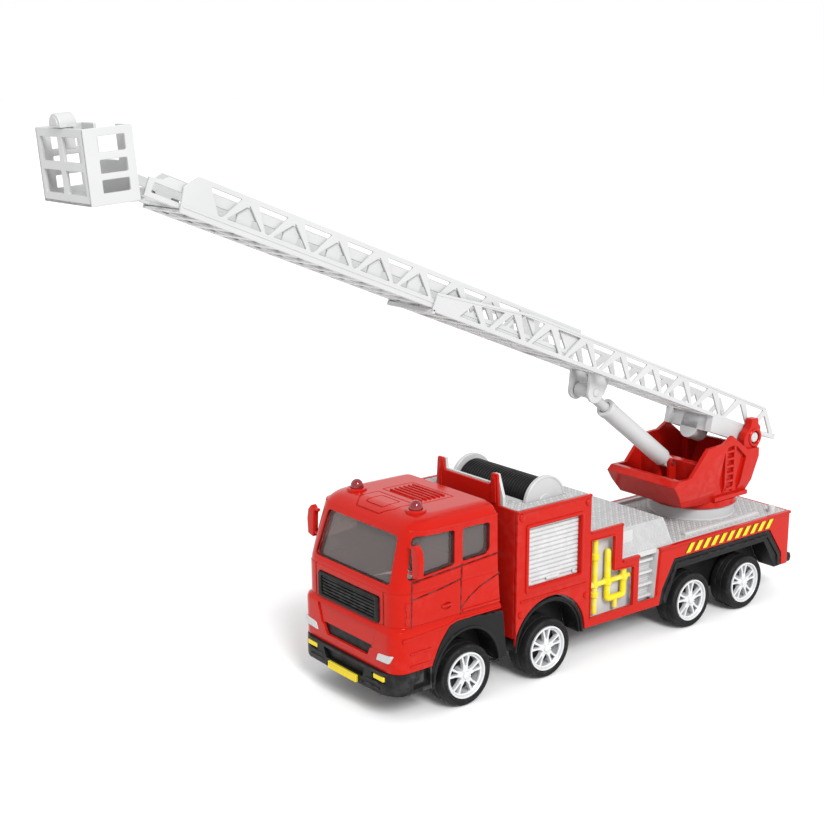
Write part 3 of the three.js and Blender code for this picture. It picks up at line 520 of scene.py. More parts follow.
def cab_seams(radius, depth):
    """Door lines, sill lines and the corner lines of the nose, as thin tubes at a depth in the skin."""
    y = HALF_WIDTH - depth
    lines = [
        [(29.2, 45.6), (29.2, 67)], [(0.3, 45.6), (0.3, 70)], [(29.2, 66.9), (-22.3, 70.6)],
        [(29.2, 58.7), (12, 60.6), (0.3, 62.6)], [(0.2, 48.6), (-4.4, 52.4), (-10.7, 56.2), (-23.2, 60.3)],
    ]
    for sign in SIGNS:
        for line in lines:
            yield pipe([(x, y * sign, z) for x, z in line], radius, steps=8)
        nose = 37.5 - depth
        yield pipe([(nose, 26.4 * sign, 45.8), (nose, 26.4 * sign, 61.6)], radius, steps=8)


def divided(loop):
    """The closed outline with each side cut into equal steps."""
    count = 6
    return [Vector(a).lerp(Vector(b), k / count)
            for a, b in zip(loop, loop[1:] + loop[:1]) for k in range(count)]


def on_roof(loop):
    """The closed outline laid on the roof, which bends down towards the windscreen."""
    flat_z, bend_x, reach, drop = 94.7, 16.5, 9.9, 3.2
    path = [(spot.x, spot.y, flat_z - drop * (max(0, spot.x - bend_x) / reach) ** 2)
            for spot in divided(loop)]
    return path + path[:1]


def roof_grooves():
    """The outlines of the hatch, its lid and the louvre, engraved in the roof."""
    hatch = [(26, -8.5), (26, 8.5), (20.6, 13.4), (9.6, 13.4), (9.6, -13.4), (20.6, -13.4)]
    lid = rounded(rect(12.4, 22.2, -7, 7), 1.6)
    louvre = [(5.6, -15.4), (5.6, 15.4), (-12.6, 15.4), (-12.6, -15.4)]
    return [pipe(on_roof(loop), 0.5, steps=8) for loop in (hatch, lid, louvre)]


def cab_hollows():
    arch_top = [(x + 0.2, z + 0.4) for x, z in ARCH_TOP]
    arch = side(rounded([(17.9, 20), *arch_top, (-32, 43.2), (-32, 20)], 3.5), -45, 45, 0)
    grille = front(rounded(rect(-23.8, 23.8, 45.9, 58.8), 1.4), 34, 45, 0)
    intake = front(rounded([(-16.2, 28.6), (16.2, 28.6), (19, 34.2), (-19, 34.2)], 1), 37.2, 45, 0)
    scoop = front(rounded([(-20, 33), (20, 33), (23.4, 43.2), (-23.4, 43.2)], 1.2), 38.3, 45, 0)
    handles = [side(rounded([(12.9, 51.4), (9.2, 53.9), (4.9, 51.8), (8.4, 49.2)], 3), 36.2 * s, 40 * s, 0)
               for s in SIGNS]
    sockets = [disc(3.4, 94.2, 99, (BEACON[0], BEACON[1] * s, 0), "Z", 32) for s in SIGNS]
    return [arch, grille, joined(intake, *handles), scoop, joined(*sockets)]


def add_cab_shell():
    eaves_z, open_below = 88, 20
    room = [(rear + 1.8, nose - 2, half - 1.9, corner - 1.5, z - 1.8 if z > eaves_z else z)
            for rear, nose, half, corner, z in CAB_LEVELS]
    room[0] = (*room[0][:4], open_below)
    collars = [lathe([(0, 90), (4.9, 90), (4.9, 95.1), (4.5, 95.6), (0, 95.6)],
                     (BEACON[0], BEACON[1] * sign, 0), "Z", 48) for sign in SIGNS]
    shell = carve(stacked(CAB_LEVELS), [joined(*collars)], "UNION")
    shell = carve(shell, [stacked(room), window_tools(), *cab_hollows()])
    shell = carve(shell, [joined(*cab_seams(0.55, 0.15)), joined(*roof_grooves())])
    fine("cab_shell", shell, RED, crease=30)
    # painted shade: thin black tubes deep in the door and sill grooves darken them
    piece("door_line_shadows", list(cab_seams(0.24, 0.6)), BLACK)


def skin_at(z):
    """The cab's nose, half width and front corner at a height."""
    for low, high in zip(CAB_LEVELS, CAB_LEVELS[1:]):
        if low[-1] <= z <= high[-1]:
            return Vector(low[1:4]).lerp(Vector(high[1:4]), (z - low[-1]) / (high[-1] - low[-1]))


def corner_drop(past, corner):
    """How far a round corner falls back, this far past its start."""
    return corner - math.sqrt(corner ** 2 - min(corner, max(0, past)) ** 2)


def window_edge_loops(depth):
    """The window outlines laid on the cab's skin, at a depth in it."""
    screen = []
    for y, z in divided(rounded(WINDSCREEN, 2.6)):
        nose, half, corner = skin_at(z)
        screen.append((nose - corner_drop(abs(y) - half + corner, corner) - depth, y, z))
    yield screen
    for sign in SIGNS:
        for outline in SIDE_WINDOWS:
            window = []
            for x, z in divided(rounded(outline, 1.8)):
                nose, half, corner = skin_at(z)
                window.append((x, (half - corner_drop(x - nose + corner, corner) - depth) * sign, z))
            yield window


def add_glazing():
    eaves_z, open_below, wall = 80, 58, 1.2
    room = [(rear + wall, nose - wall, half - wall, corner - 1, z - wall if z > eaves_z else z)
            for rear, nose, half, corner, z in GLASS_LEVELS]
    room[0] = (*room[0][:4], open_below)
    glass = carve(stacked(GLASS_LEVELS), [stacked(room)])
    fine("cab_glazing", glass, SMOKE, crease=30)
    # painted shadow: thin black tubes round the window edges
    piece("window_edge_shadows", [pipe(loop + loop[:1], 0.42, steps=8) for loop in window_edge_loops(0.9)], BLACK)


def add_roof():
    ribs = [block(-10.6 + 2.7 * i, -9.4 + 2.7 * i, -12, 12, 94.2, 95.4, 0.5) for i in range(6)]
    edge = [spot for spot in ring_at(-21.8, 28.2, 36.9, 10, 89.3) if spot[1] > 31]
    gutters = [pipe([(x, y * s, z) for x, y, z in edge], 0.5, steps=8) for s in SIGNS]
    piece("roof_detail", [*ribs, *gutters], RED)
    for name, sign in SIDES:
        centre = (BEACON[0], BEACON[1] * sign, 0)
        bowl = lathe([(0, 94.4), (3.1, 94.4), (3.1, 96.5), (2.95, 97.4), (2.55, 98.3), (1.9, 99.05),
                      (1, 99.55), (0, 99.7)], centre, "Z", 48)
        bulb = lathe([(0, 94.5), (1.5, 94.5), (1.5, 96.4), (0.9, 97), (0, 97.2)], centre, "Z", 24)
        fine(f"beacon_{name}", bowl, LENS)
        piece(f"beacon_bulb_{name}", bulb, WHITE)


def add_grille():
    slats = [block(37.0, 37.9, -21, 21, 47.9 + 1.56 * i, 48.95 + 1.56 * i, 0.3) for i in range(6)]
    back = front(rounded(rect(-23.2, 23.2, 46.3, 58.4), 1), 36.2, 37.2, 0.2)
    bezel = front([rounded(rect(-23.6, 23.6, 46.1, 58.6), 1.6), rounded(rect(-20.8, 20.8, 47.8, 57), 1.2)],
                  36.6, 38.4, 0.4)
    fine("grille", [back, bezel, *slats], BLACK)
    piece("intake_shadow", front(rect(-19.2, 19.2, 28.2, 34.6), 36.9, 37.5, 0.1), BLACK)


def add_cab_trim():
    for name, sign in SIDES:
        lamp = [(22.9, 28.6), (24.5, 32.3), (34.2, 33.2), (32.2, 29.2)]
        lamp = front(rounded([(y * sign, z) for y, z in lamp], 0.8), 35.5, 39.2, 0.35)
        piece(f"headlight_{name}", lamp, WHITE)
        grip = block(5.6, 11.9, 36.1 * sign, 37.5 * sign, 51.2, 52.4, 0.4)
        hinges = [block(30.4, 32.4, 34.6 * sign, 37 * sign, z, z + 3.6, 0.4) for z in (47.4, 54)]
        plate = block(31, 31.8, 34.6 * sign, 36.8 * sign, 50.4, 54.4, 0.3)
        sill = [(34.6, 39.6), (34.6, 41.2), (9, 42.6), (3.4, 44), (-23.8, 43.6), (-23.8, 42.9), (3, 43),
                (9, 41.2)]
        sill = side(rounded(sill, 0.3), 36.6 * sign, 37.7 * sign, 0.3)
        step = side(rounded(rect(-23.4, -0.6, 46.4, 47.5), 0.3), 36.3 * sign, 37.4 * sign, 0.3)
        ridges = [block(17.8, 30.6, 36.8 * sign, 37.9 * sign, z, z + 0.9, 0.3) for z in (26.8, 33)]
        piece(f"cab_trim_{name}", [grip, *hinges, plate, *ridges, sill, step], RED)


def add_mirror(name, sign):
    def facing(outline, corner, x0, x1, edge):
        return front(rounded([(y * sign, z) for y, z in outline], corner), x0, x1, edge)

    head = facing([(37.8, 83.4), (40, 85.6), (42.6, 83), (43.6, 78), (43, 70.6), (38.6, 69.6), (38.2, 78)],
                  0.6, 27.4, 30.6, 0.5)
    arm = pipe([(29, 35.6 * sign, 83.6), (29, 39 * sign, 83.4)], 0.9, steps=12)
    foot = pipe([(29.6, 35.6 * sign, 71.6), (29, 39.2 * sign, 72)], 0.7, steps=12)
    glass = facing([(39.2, 82.4), (40.2, 84), (41.9, 82.2), (42.8, 78), (42.2, 71.6), (39.4, 71)],
                   0.8, 27.1, 27.9, 0.2)
    fine(f"mirror_{name}", [head, arm, foot], RED)
    piece(f"mirror_glass_{name}", glass, RIM)


def add_cab():
    add_cab_shell()
    add_glazing()
    add_roof()
    add_grille()
    add_cab_trim()
    for name, sign in SIDES:
        add_mirror(name, sign)


# ---- bumpers and fenders ----
def bumper_bar():
    outer = [(17.8, 37.3), (31.6, 37.3), (34.4, 36.5), (36.6, 35.1), (38.3, 33.1), (39.5, 30.9), (40.4, 28.4),
             (40.7, 15), (40.8, 0)]
    inner = [(38.2, 0), (37.9, 27.4), (36.6, 31), (34.6, 33.4), (31.4, 34.8), (17.8, 34.8)]
    turned = [(x, -y) for x, y in reversed(outer[:-1])] + [(x, -y) for x, y in reversed(inner)]
    bar = slab(outer + turned + inner[1:], 13.6, 24.3, 0.5)
    slot = [(28.6, 15.8), (28.6, 18.3), (22.8, 18.3), (22.8, 25), (18.9, 25), (18.9, 15.8)]
    chin = front(rounded([(-14.5, 17.9), (14.5, 17.9), (16.4, 22.8), (-16.4, 22.8)], 0.6), 38.7, 44, 0)
    lamp_beds = [front(rounded(rect(21.6 * s, 31 * s, 19.4, 22.8), 0.6), 39.4, 44, 0) for s in SIGNS]
    return carve(bar, [side(rounded(slot, 0.4), -40, 40, 0), joined(chin, *lamp_beds)])


def add_front_bumper():
    lips = [block(38.6, 41.0, 17 * s, 27.6 * s, z, z + 0.7, 0.25) for s in SIGNS for z in (18.4, 15.9)]
    fine("front_bumper", [bumper_bar(), *lips], DARK)
    lamps = [front(rounded(rect(22.2 * s, 30 * s, 19.9, 22.3), 0.6), 38.6, 40.3, 0.3) for s in SIGNS]
    piece("fog_lamps", lamps, YELLOW)
    outline = rounded(rect(-11.2, 11.2, 14, 17.6), 0.5)
    plate = front(outline, 40.7, 41.6, 0.2)
    rim = front([outline, rounded(rect(-10.5, 10.5, 14.6, 17), 0.3)], 41, 41.95, 0.15)
    fine("number_plate", [plate, rim], YELLOW)
    hollow = front([(-14, 18), (14, 18), (16, 22.7), (-16, 22.7)], 38.2, 38.9, 0.1)
    steps = [side(rect(19.1, 28.4, 16, 24.8), 34.9 * s, 35.6 * s, 0.1) for s in SIGNS]
    piece("bumper_shadows", [hollow, *steps], BLACK)
    piece("plate_bolts", [dome(40.6, y, 15.4, 0.7, 0.7, "X") for y in (-14, 14)], DARK)


def arch_back(outline, axles, sign):
    """The wall that closes a wheel arch behind its wheels, with holes for the axles. Its dark colour is
    painted shade for the inside of the arch.
    """
    holes = [circle(x, AXLE_Z, 2.1, 24) for x in axles]
    return side([outline, *holes], 24.3 * sign, 24.9 * sign, 0.1)


def front_fender(sign):
    def bow(reach, rise, start, end):
        return arc(-3.3, 15.5, reach, rise, start, end, 28)

    well = bow(19.4, 21.8, 176, -6)
    # Left out of the rounded outline: its end below the sill, and its points just ahead of the rear edge.
    outline = rounded([(16.6, 9.8), (17.5, 12.8), *ARCH_TOP, (-28.2, 17.4), (-24.8, 17.4), (-22, 17.4)], 3.5)
    outside = [(x, z) for x, z in outline if z > 12.8 and not -24.8 < x < -21.8]
    plate = side(outside + well, 35.4 * sign, 37.5 * sign, 0.5)
    liner = side(bow(20.6, 23, -6, 176) + well, 25.2 * sign, 36.8 * sign, 0.3)
    rim = side(bow(20.9, 23.2, 0, 176) + bow(19.4, 21.8, 176, 0), 36.8 * sign, 38 * sign, 0.35)
    back = arch_back(bow(20, 22.4, -4, 184), AXLE_X[:1], sign)
    return [plate, liner, rim, back]


def middle_fender(sign):
    def bow(radius, start, end):
        return arc(-56.8, 17, radius, radius, start, end, 28)

    def band(r_out, r_in, y0, y1, edge):
        return side(bow(r_out, 0, 180) + bow(r_in, 180, 0), y0 * sign, y1 * sign, edge)

    back = arch_back(bow(21, -8, 188), AXLE_X[1:2], sign)
    return [band(22.9, 20.7, 25.2, 36.4, 0.5), band(23.1, 21.8, 36.1, 37.3, 0.3), back]


def rear_fender(sign):
    outer = [(-136.3, 17.3), (-138.1, 25), (-147.1, 40.4), (-226.4, 40.4), (-237.7, 25), (-238.4, 17.3)]
    inner = [(-233.1, 17.3), (-222.5, 34.6), (-149.7, 34.3), (-142.1, 17.3)]
    bead_out = [(-139.2, 18), (-140.6, 24.8), (-148.6, 38.2), (-225.2, 38.2), (-235.3, 24.2), (-236, 18)]
    bead_in = [(-234.8, 18), (-234, 24.6), (-224.6, 36.9), (-149.2, 36.9), (-141.8, 25.2), (-140.4, 18)]
    back = arch_back([(-233.4, 12), *inner, (-142, 12)], AXLE_X[2:], sign)
    return [side(outer + inner, 25.2 * sign, 36.9 * sign, 0.5),
            side(bead_out + bead_in, 36.6 * sign, 37.7 * sign, 0.3), back]


def add_fenders():
    shapes = (("front", front_fender), ("middle", middle_fender), ("rear", rear_fender))
    for name, sign in SIDES:
        for place, shape in shapes:
            fine(f"{place}_fender_{name}", shape(sign), DARK)


def add_tail():
    outline = rounded(mirrored([(36, 17.4), (36.6, 20), (36, 22.6)]), 0.8)
    bar = front(outline, TAIL_X - 4.6, TAIL_X - 0.3, 0.6)
    hook = pipe([(TAIL_X - 3, 0, 20), (TAIL_X - 6.4, 0, 20), (TAIL_X - 6.4, 0, 23.6)], 1.1, 1.2)
    fine("rear_bumper", [bar, hook], DARK)
    wall = front(rounded(rect(-35.3, 35.3, 19.7, 49), 0.8), TAIL_X, TAIL_X + 1.7, 0.4)
    ribs = [block(TAIL_X - 0.9, TAIL_X + 0.3, -36.6, 36.6, z, z + 1.5, 0.4) for z in (35.6, 38.6, 41.6, 44.6)]
    fine("rear_wall", [wall, *ribs], RED)
    for name, sign in SIDES:
        lamp = front(rounded(rect(27.8 * sign, 34 * sign, 24, 33), 0.7), TAIL_X - 0.9, TAIL_X + 0.3, 0.35)
        piece(f"tail_lamp_{name}", lamp, LENS)


# ---- bodywork ----
def add_lug(shape, x, y, turn):
    """One pointed bar of tread plate, turned and standing on the level Z = 0."""
    half_length, half_width, height = 0.86, 0.4, 0.36
    along = Vector((math.cos(turn), math.sin(turn), 0))
    across = Vector((-along.y, along.x, 0))
    middle = Vector((x, y, 0))
    ring = [along * half_length, across * half_width, -along * half_length, -across * half_width]
    base = [shape.verts.new(middle + p - Vector((0, 0, 0.1))) for p in ring]
    top = [shape.verts.new(middle + p * 0.5 + Vector((0, 0, height))) for p in ring]
    for k in range(4):
        n = (k + 1) % 4
        shape.faces.new((base[k], base[n], top[n], top[k]))
    shape.faces.new(top)
    shape.faces.new(list(reversed(base)))


def tread(x0, x1, y0, y1, z, lean=0.0, spare=None):
    """The lugs of a tread plate that starts at y0 and leans down from there, and a darker plate under them
    that paints the shade between the lugs.
    The test spare(x, y) tells where to leave the lugs out."""
    pitch = 2.15
    columns, rows = int((x1 - x0) / pitch), int(abs(y1 - y0) / pitch)
    shape = bmesh.new()
    for i in range(columns):
        for j in range(rows):
            x = x0 + (i + 0.5) * (x1 - x0) / columns
            y = (j + 0.5) * (y1 - y0) / rows
            if not (spare and spare(x, y0 + y)):
                add_lug(shape, x, y, math.radians(45 if (i + j) % 2 else -45))
    lugs = baked(shape)
    # painted shade: a darker plate under the lugs stands for the shade between them
    shade_plate = block(x0, x1, 0, y1 - y0, -0.2, 0.06, 0.02)
    for mesh in (lugs, shade_plate):
        mesh.transform(Matrix.Translation((0, y0, z)) @ Matrix.Rotation(lean, 4, "X"))
    return lugs, shade_plate


def bare_deck(x, y):
    """True under the turntable and under the deck's two bars."""
    on_a_bar = -224 < x < -160 and 28.4 < abs(y) < 32.8
    return math.hypot(x - TURRET_X, y) < TURNTABLE_RADIUS or on_a_bar


def add_treads():
    lean = math.atan2(PLATFORM_Z - 48.6, 7.3)
    plates = [
        tread(-82.8, -76, -35, 35, BOX_TOP_Z), tread(-45.4, -36, -35, 35, BOX_TOP_Z),
        tread(-146.4, -85, -27.6, 27.6, PLATFORM_Z),
        tread(-241.5, -147.5, -34.6, 34.6, DECK_Z, spare=bare_deck),
    ]
    for sign in SIGNS:
        plates.append(tread(-76, -45.4, 28.9 * sign, 35 * sign, BOX_TOP_Z))
        plates.append(tread(-146.4, -108, 28.2 * sign, 42 * sign, PLATFORM_Z, -lean * sign))
    piece("tread_lugs", [lugs for lugs, _ in plates], WHITE, crease=20)
    piece("tread_shade_plates", [shade_plate for _, shade_plate in plates], TREAD_SHADE)


def add_deck_fittings():
    bars = [block(-223, -161, 29.4 * s, 31.8 * s, DECK_Z + 0.6, DECK_Z + 1.5, 0.4) for s in SIGNS]
    for s in SIGNS:
        bars.append(block(-134.7, RECESS_FRONT_X + 0.2, 30.2 * s, 31.3 * s, 21, 48, 0.2))
        rail = [(-132.3, 21.6), (-134.5, 48.4), (-135.7, 48.4), (-133.6, 21.6)]
        bars.append(side(rail, 30.6 * s, 36.9 * s, 0.2))
        for z in (24, 30.5, 37, 43.5):
            bars.append(block(-133.4, RECESS_FRONT_X + 0.2, 31 * s, 34.2 * s, z - 1.3, z + 0.2, 0.35))
            bars += [block(-133.8, RECESS_FRONT_X + 0.2, 31 * s, 31.9 * s, z + h, z + h + 0.8, 0.3)
                     for h in (1.6, 3.2)]
    piece("deck_bars", bars, WHITE)
    pegs = [lathe([(0, 48.8), (2.3, 48.8), (2.3, 49.6), (2.05, 50), (2.05, 52.2), (1.7, 52.75), (0, 52.9)],
                  (-232.4, 33 * s, 0), "Z", 32) for s in SIGNS]
    piece("deck_pegs", pegs, PALE)
    base = lathe([(0, 48.7), (24.0, 48.7), (24.0, 49.5), (23.6, 49.9), (23.6, 54.8), (23.2, 55.3), (0, 55.3)],
                 (TURRET_X, 0, 0), "Z", 96)
    piece("pedestal_ring", base, PALE)


SHUTTER_HOLE = rounded(rect(-76.5, -41.3, 48.2, 78.8), 0.8)
PIPE_OPENING = [(-84.4, 22.8), (-115.2, 22.8), (-115.2, 43.6), (-100.6, 44.2), (-100.6, 63), (-84.4, 63.4)]


def panel_outline():
    return [
        (BOX_FRONT_X, 19.8), (BOX_FRONT_X, 87.9), (BOX_REAR_X, 87.9), (BOX_REAR_X, 68.2), (STEP_X, 68.2),
        (STEP_X, 48.7), (RECESS_FRONT_X, 48.7), (RECESS_FRONT_X, 22.5), (-132.4, 22.3), (-134.6, DECK_Z),
        (TAIL_X, DECK_Z), (TAIL_X, 17.6), (-238.8, 17.6), (-238.1, 25.2), (-226.7, 40.8), (-146.8, 40.8),
        (-137.7, 25.2), (-136, 17.4), *arc(-57, 17.2, 23.9, 23.9, 178, 20, 28)]


def panel_trims(sign):
    """The raised frames, ridges and edge beads that stand on a side panel."""
    beads = (
        (rect(-80.9, -36.6, 41.9, 43), 37.9), (rect(TAIL_X, -134.8, 47.4, DECK_Z), 38.2),
        (rect(RECESS_FRONT_X, STEP_X - 0.2, 47.2, 48.7), 38),
        (rect(BOX_REAR_X, BOX_FRONT_X, 86.6, 87.9), 37.8), (rect(STEP_X, BOX_REAR_X - 0.2, 67, 68.2), 37.8),
        ([(-133.2, 23), (-135.2, 46.8), (-136.8, 46.8), (-135.2, 23)], 37.8),
    )
    parts = [side(rounded(outline, 0.3), 36.6 * sign, face * sign, 0.35) for outline, face in beads]
    shutter_frame = rounded(rect(-78.1, -39.5, 46, 80.4), 1.6)
    parts.append(side([shutter_frame, SHUTTER_HOLE], 36.6 * sign, 38.1 * sign, 0.45))
    pipe_frame = rounded([(-83.7, 22.1), (-115.9, 22.1), (-115.9, 44.4), (-101.4, 44.9), (-101.4, 63.8),
                          (-83.7, 64.1)], 1)
    parts.append(side([pipe_frame, rounded(PIPE_OPENING, 0.8)], 36.6 * sign, 37.8 * sign, 0.3))
    return parts


def add_side_panel(name, sign):
    skin = side([panel_outline(), SHUTTER_HOLE, rounded(PIPE_OPENING, 0.8)], 35.6 * sign, 37.3 * sign, 0.4)
    rivets = [dome(x, 37.2 * sign, z, 1.7, 1.05, "Y", sign)
              for x, z in ((-36.7, 84.7), (-80.9, 84.2), (-36.9, 36), (-80.9, 36))]
    fine(f"side_panel_{name}", [skin, *panel_trims(sign), *rivets], RED)


def add_front_wall():
    half = [(35.3, 19.7), (35.3, 87.9), (23.3, 87.9), (22.4, 102.4), (21.6, 103.2), (18.6, 103.2),
            (17.9, 102.4), (17.4, 98.2), (16.4, 97.2)]
    wall = front(mirrored(half), BOX_FRONT_X - 1.5, BOX_FRONT_X, 0.45)
    notches = [side(circle(-57, 17.2, 23.9, 48), 24.7 * s, 40 * s, 0) for s in SIGNS]
    fine("front_wall", carve(wall, [joined(*notches)]), RED)
    ribs = [front(rounded([(18.6 * s, 88.6), (21.9 * s, 88.6), (21.2 * s, 101.6), (19 * s, 101.6)], 0.6),
                  BOX_FRONT_X - 0.2, BOX_FRONT_X + 0.5, 0.25) for s in SIGNS]
    piece("horn_ribs", ribs, RED)


def add_shutter(name, sign):
    """Fourteen flat slats with narrow grooves between them."""
    low, pitch = 47.6, 2.25
    rear, fore = -78.4, -39.7
    profile = [(34.6, 0.04), (34.9, 0.14), (35.3, 0.4), (35.45, 0.8), (35.45, 1.5), (35.3, 1.9), (34.9, 2.1),
               (34.6, 2.16)]
    parts = [block(rear, fore, 34.35 * sign, 34.8 * sign, low, low + 14 * pitch, 0.1)]
    for i in range(14):
        slat = [(y * sign, low + pitch * i + z) for y, z in profile]
        parts.append(front(slat, rear, fore, 0))
    parts += [block(x, x + 1.6, 35.3 * sign, 36.2 * sign, 49.2, 51.4, 0.3) for x in (-74, -44.6)]
    parts.append(block(-63, -54.6, 35.3 * sign, 36.3 * sign, 49.4, 51, 0.4))
    fine(f"shutter_{name}", parts, WHITE)


def add_stripes(name, sign):
    """Eleven slanted warning stripes above the rear wheels, each with a dark strip behind it that paints the
    stripe's shadow.
    """
    first, last, count = -155.6, -228.6, 11
    pitch = (last - first) / count
    bars, shades = [], []
    for i in range(count):
        x = first + pitch * (i + 0.5)
        outline = [(x + 0.2, 42.0), (x + 3.4, 42.0), (x - 0.4, 47.0), (x - 3.6, 47.0)]
        bars.append(side(rounded(outline, 0.25), 36.9 * sign, 37.75 * sign, 0.2))
        shade = [(a + 0.75, b - 0.12) for a, b in outline]
        shades.append(side(shade, 36.9 * sign, 37.42 * sign, 0.05))
    piece(f"stripes_{name}", bars, YELLOW)
    piece(f"stripe_shadows_{name}", shades, DARK)


def add_pipework(name, sign):
    y = PIPES_Y * sign

    def run(points, radius, bend=0.0):
        return pipe([(x, y, z) for x, z in points], radius, bend)

    def knob(x, low, high, radius):
        profile = [(0, low), (radius - 0.4, low), (radius, low + 0.5), (radius, high - 0.5),
                   (radius - 0.4, high), (0, high)]
        return lathe(profile, (x, y, 0), "Z", 28)

    front_leg = lathe([(0, 40), (1.7, 40), (1.7, 54.2), (1.3, 55.3), (0.6, 55.8), (0, 55.8)],
                      (-99, y, 0), "Z", 28)
    parts = [
        run([(-89.8, 23.4), (-89.8, 62.4)], 1.5), knob(-89.8, 51.6, 55.2, 2.2), knob(-89.8, 31.8, 35, 2.2),
        run([(-99, 41), (-99, 28.9), (-110.8, 28.9), (-110.8, 43)], 1.7, 1.6), front_leg,
        knob(-99, 36.6, 40.2, 2.3), knob(-110.8, 36.8, 40.4, 2.3), knob(-89.8, 37, 40, 2.0),
        run([(-104.9, 23.4), (-104.9, 28.9)], 1.3), run([(-114.7, 38.5), (-86, 38.5)], 1.4),
    ]
    fine(f"pipework_{name}", parts, YELLOW)


def add_bodywork():
    add_treads()
    add_deck_fittings()
    add_front_wall()
    for name, sign in SIDES:
        add_side_panel(name, sign)
        add_shutter(name, sign)
        add_stripes(name, sign)
        add_pipework(name, sign)


# ---- hose reel ----
def add_reel():
    centre = (REEL_X, 0, REEL_Z)
    turns = 27
    pitch = 50.4 / turns
    coils = [(10.4 + 0.5 * math.sin(math.radians(a)),
              (i - (turns - 1) / 2) * pitch - pitch * 0.46 * math.cos(math.radians(a)))
             for i in range(turns) for a in (10, 50, 90, 130, 170)]
    winding = lathe([(4.4, -25.3), (10.3, -25.3), *coils, (10.3, 25.3), (4.4, 25.3)], centre, "Y", 72)
    fine("reel_winding", winding, BLACK, "hose_reel")
    profile = [(0, 25.9), (12.9, 25.9), (13.2, 26.2), (13.2, 27.9), (12.9, 28.2), (12.2, 28.2), (11.9, 27.9),
               (4.1, 27.9), (3.8, 28.2), (0, 28.2)]
    flanges = [lathe([(r, s * y) for r, y in profile], centre, "Y", 72) for s in SIGNS]
    spindle = disc(4, -26.4, 26.4, centre, "Y", 32)
    fine("reel_flanges", [*flanges, spindle], PALE, "hose_reel")


# ---- turntable ----
TUB_SIDE = [(-168, 60.8), (-185, 59.5), (-220, 59.5), (-229.5, 80.6), (-229.3, 85.5), (-219, 86),
            (-206, 95.6), (-198.5, 91.7), (-186, 91.2), (-172.5, 76.9), (-162.2, 76.9), (-159, 74)]
TUB_ROOM = [(-171, 63.5), (-187, 62.3), (-218, 62.3), (-226.5, 80), (-226.5, 110), (-165.4, 110),
            (-165.4, 75)]
POCKETS = (
    [(-193.4, 63.5), (-200.6, 63.5), (-200.2, 87)],
    [(-201.8, 63.5), (-207.6, 63.5), (-207.6, 90), (-202, 89.4)],
    [(-209.2, 63.5), (-212.6, 63.5), (-218.2, 82), (-209.4, 89.6)],
)
EAR = [(-218.5, 70), (-228.6, 78), (-229.4, 84), (-232.4, 87.4), (-232.4, 97), (-230.6, 98.4), (-229.9, 102),
       (-224.8, 102), (-223.8, 98.6), (-222.8, 96.4), (-220, 94.6), (-218.4, 91.4)]


def turret_tub():
    hull = side(TUB_SIDE, -TURRET_HALF, TURRET_HALF, 0)
    flare = front(mirrored([(22, 50), (22, 59.5), (TURRET_HALF, 68), (TURRET_HALF, 120)]), -240, -150, 0)
    pockets = [side(outline, 22.9 * s, 26 * s, 0) for s in SIGNS for outline in POCKETS]
    tub = carve(hull, [flare], "INTERSECT")
    return eased(carve(tub, [side(TUB_ROOM, -22.3, 22.3, 0), joined(*pockets)]), 0.45)


def turret_sides(sign):
    """What stands on one side of the tub: ear with its ring, steps, ledge and strut foot."""
    ear = side([rounded(EAR, 0.9), circle(*PIVOT, 3.6, 32)], 17.8 * sign, 22.6 * sign, 0.5)
    ring = lathe([(3.6, 22.4 * sign), (5.3, 22.4 * sign), (5.3, 22.9 * sign), (4.9, 23.3 * sign),
                  (4, 23.3 * sign), (3.6, 22.9 * sign)], (PIVOT[0], 0, PIVOT[1]), "Y", 48)
    steps = [block(-207.8, -201.6, 22.7 * sign, 24.6 * sign, z, z + 1.4, 0.35)
             for z in (65.2 + 4.2 * i for i in range(6))]
    ledge = block(-221, -193, 20 * sign, TURRET_HALF * sign, 59.9, 62.4, 0.4)
    x, z = STRUT_FOOT
    foot = side([[(x + 2.5, 61.5), *arc(x, z, 2.5, 2.5, 0, 180, 14), (x - 3.4, 61.5)], circle(x, z, 1.6, 20)],
                2.7 * sign, 4.9 * sign, 0.3)
    return [ear, ring, *steps, ledge, foot]


def add_turret():
    plate = lathe([(0, 55.7), (24.4, 55.7), (25, 56.2), (25, 59.2), (24.4, 59.7), (0, 59.7)],
                  (TURRET_X, 0, 0), "Z", 96)
    spigot = disc(6, 44.9, 57, (TURRET_X, 0, 0), "Z", 40)
    bulkhead = block(-190, -184.4, -22.6, 22.6, 61.6, 81.5, 0.5)
    parts = [turret_tub(), plate, spigot, bulkhead]
    for sign in SIGNS:
        parts += turret_sides(sign)
    fine("turret", parts, RED, "turret")
    caps = [lathe([(0, 20.5 * s), (2.8, 20.5 * s), (2.8, 22.4 * s), (2.3, 22.8 * s), (0, 22.8 * s)],
                  (PIVOT[0], 0, PIVOT[1]), "Y", 32) for s in SIGNS]
    piece("trunnion_caps", caps, PALE, "ladder_base")


# ---- ladder ----
def down_window(s, pitch, low, high):
    return [(s - 0.32 * pitch, high), (s - 1, low), (s + 1, low), (s + 0.32 * pitch, high)]


def up_window(s, pitch, low, high):
    return [(s - 0.37 * pitch, low), (s + 0.37 * pitch, low), (s, high - 1.2)]


def truss(s0, pitch, count, low, high):
    """Windows of a Warren truss, turned down and up by turns, from s0 backwards."""
    windows = []
    for i in range(count):
        windows.append(down_window(s0 - pitch * i, pitch, low, high))
        windows.append(up_window(s0 - pitch * (i + 0.5), pitch, low, high))
    return [rounded(outline, 0.7, 3) for outline in windows]


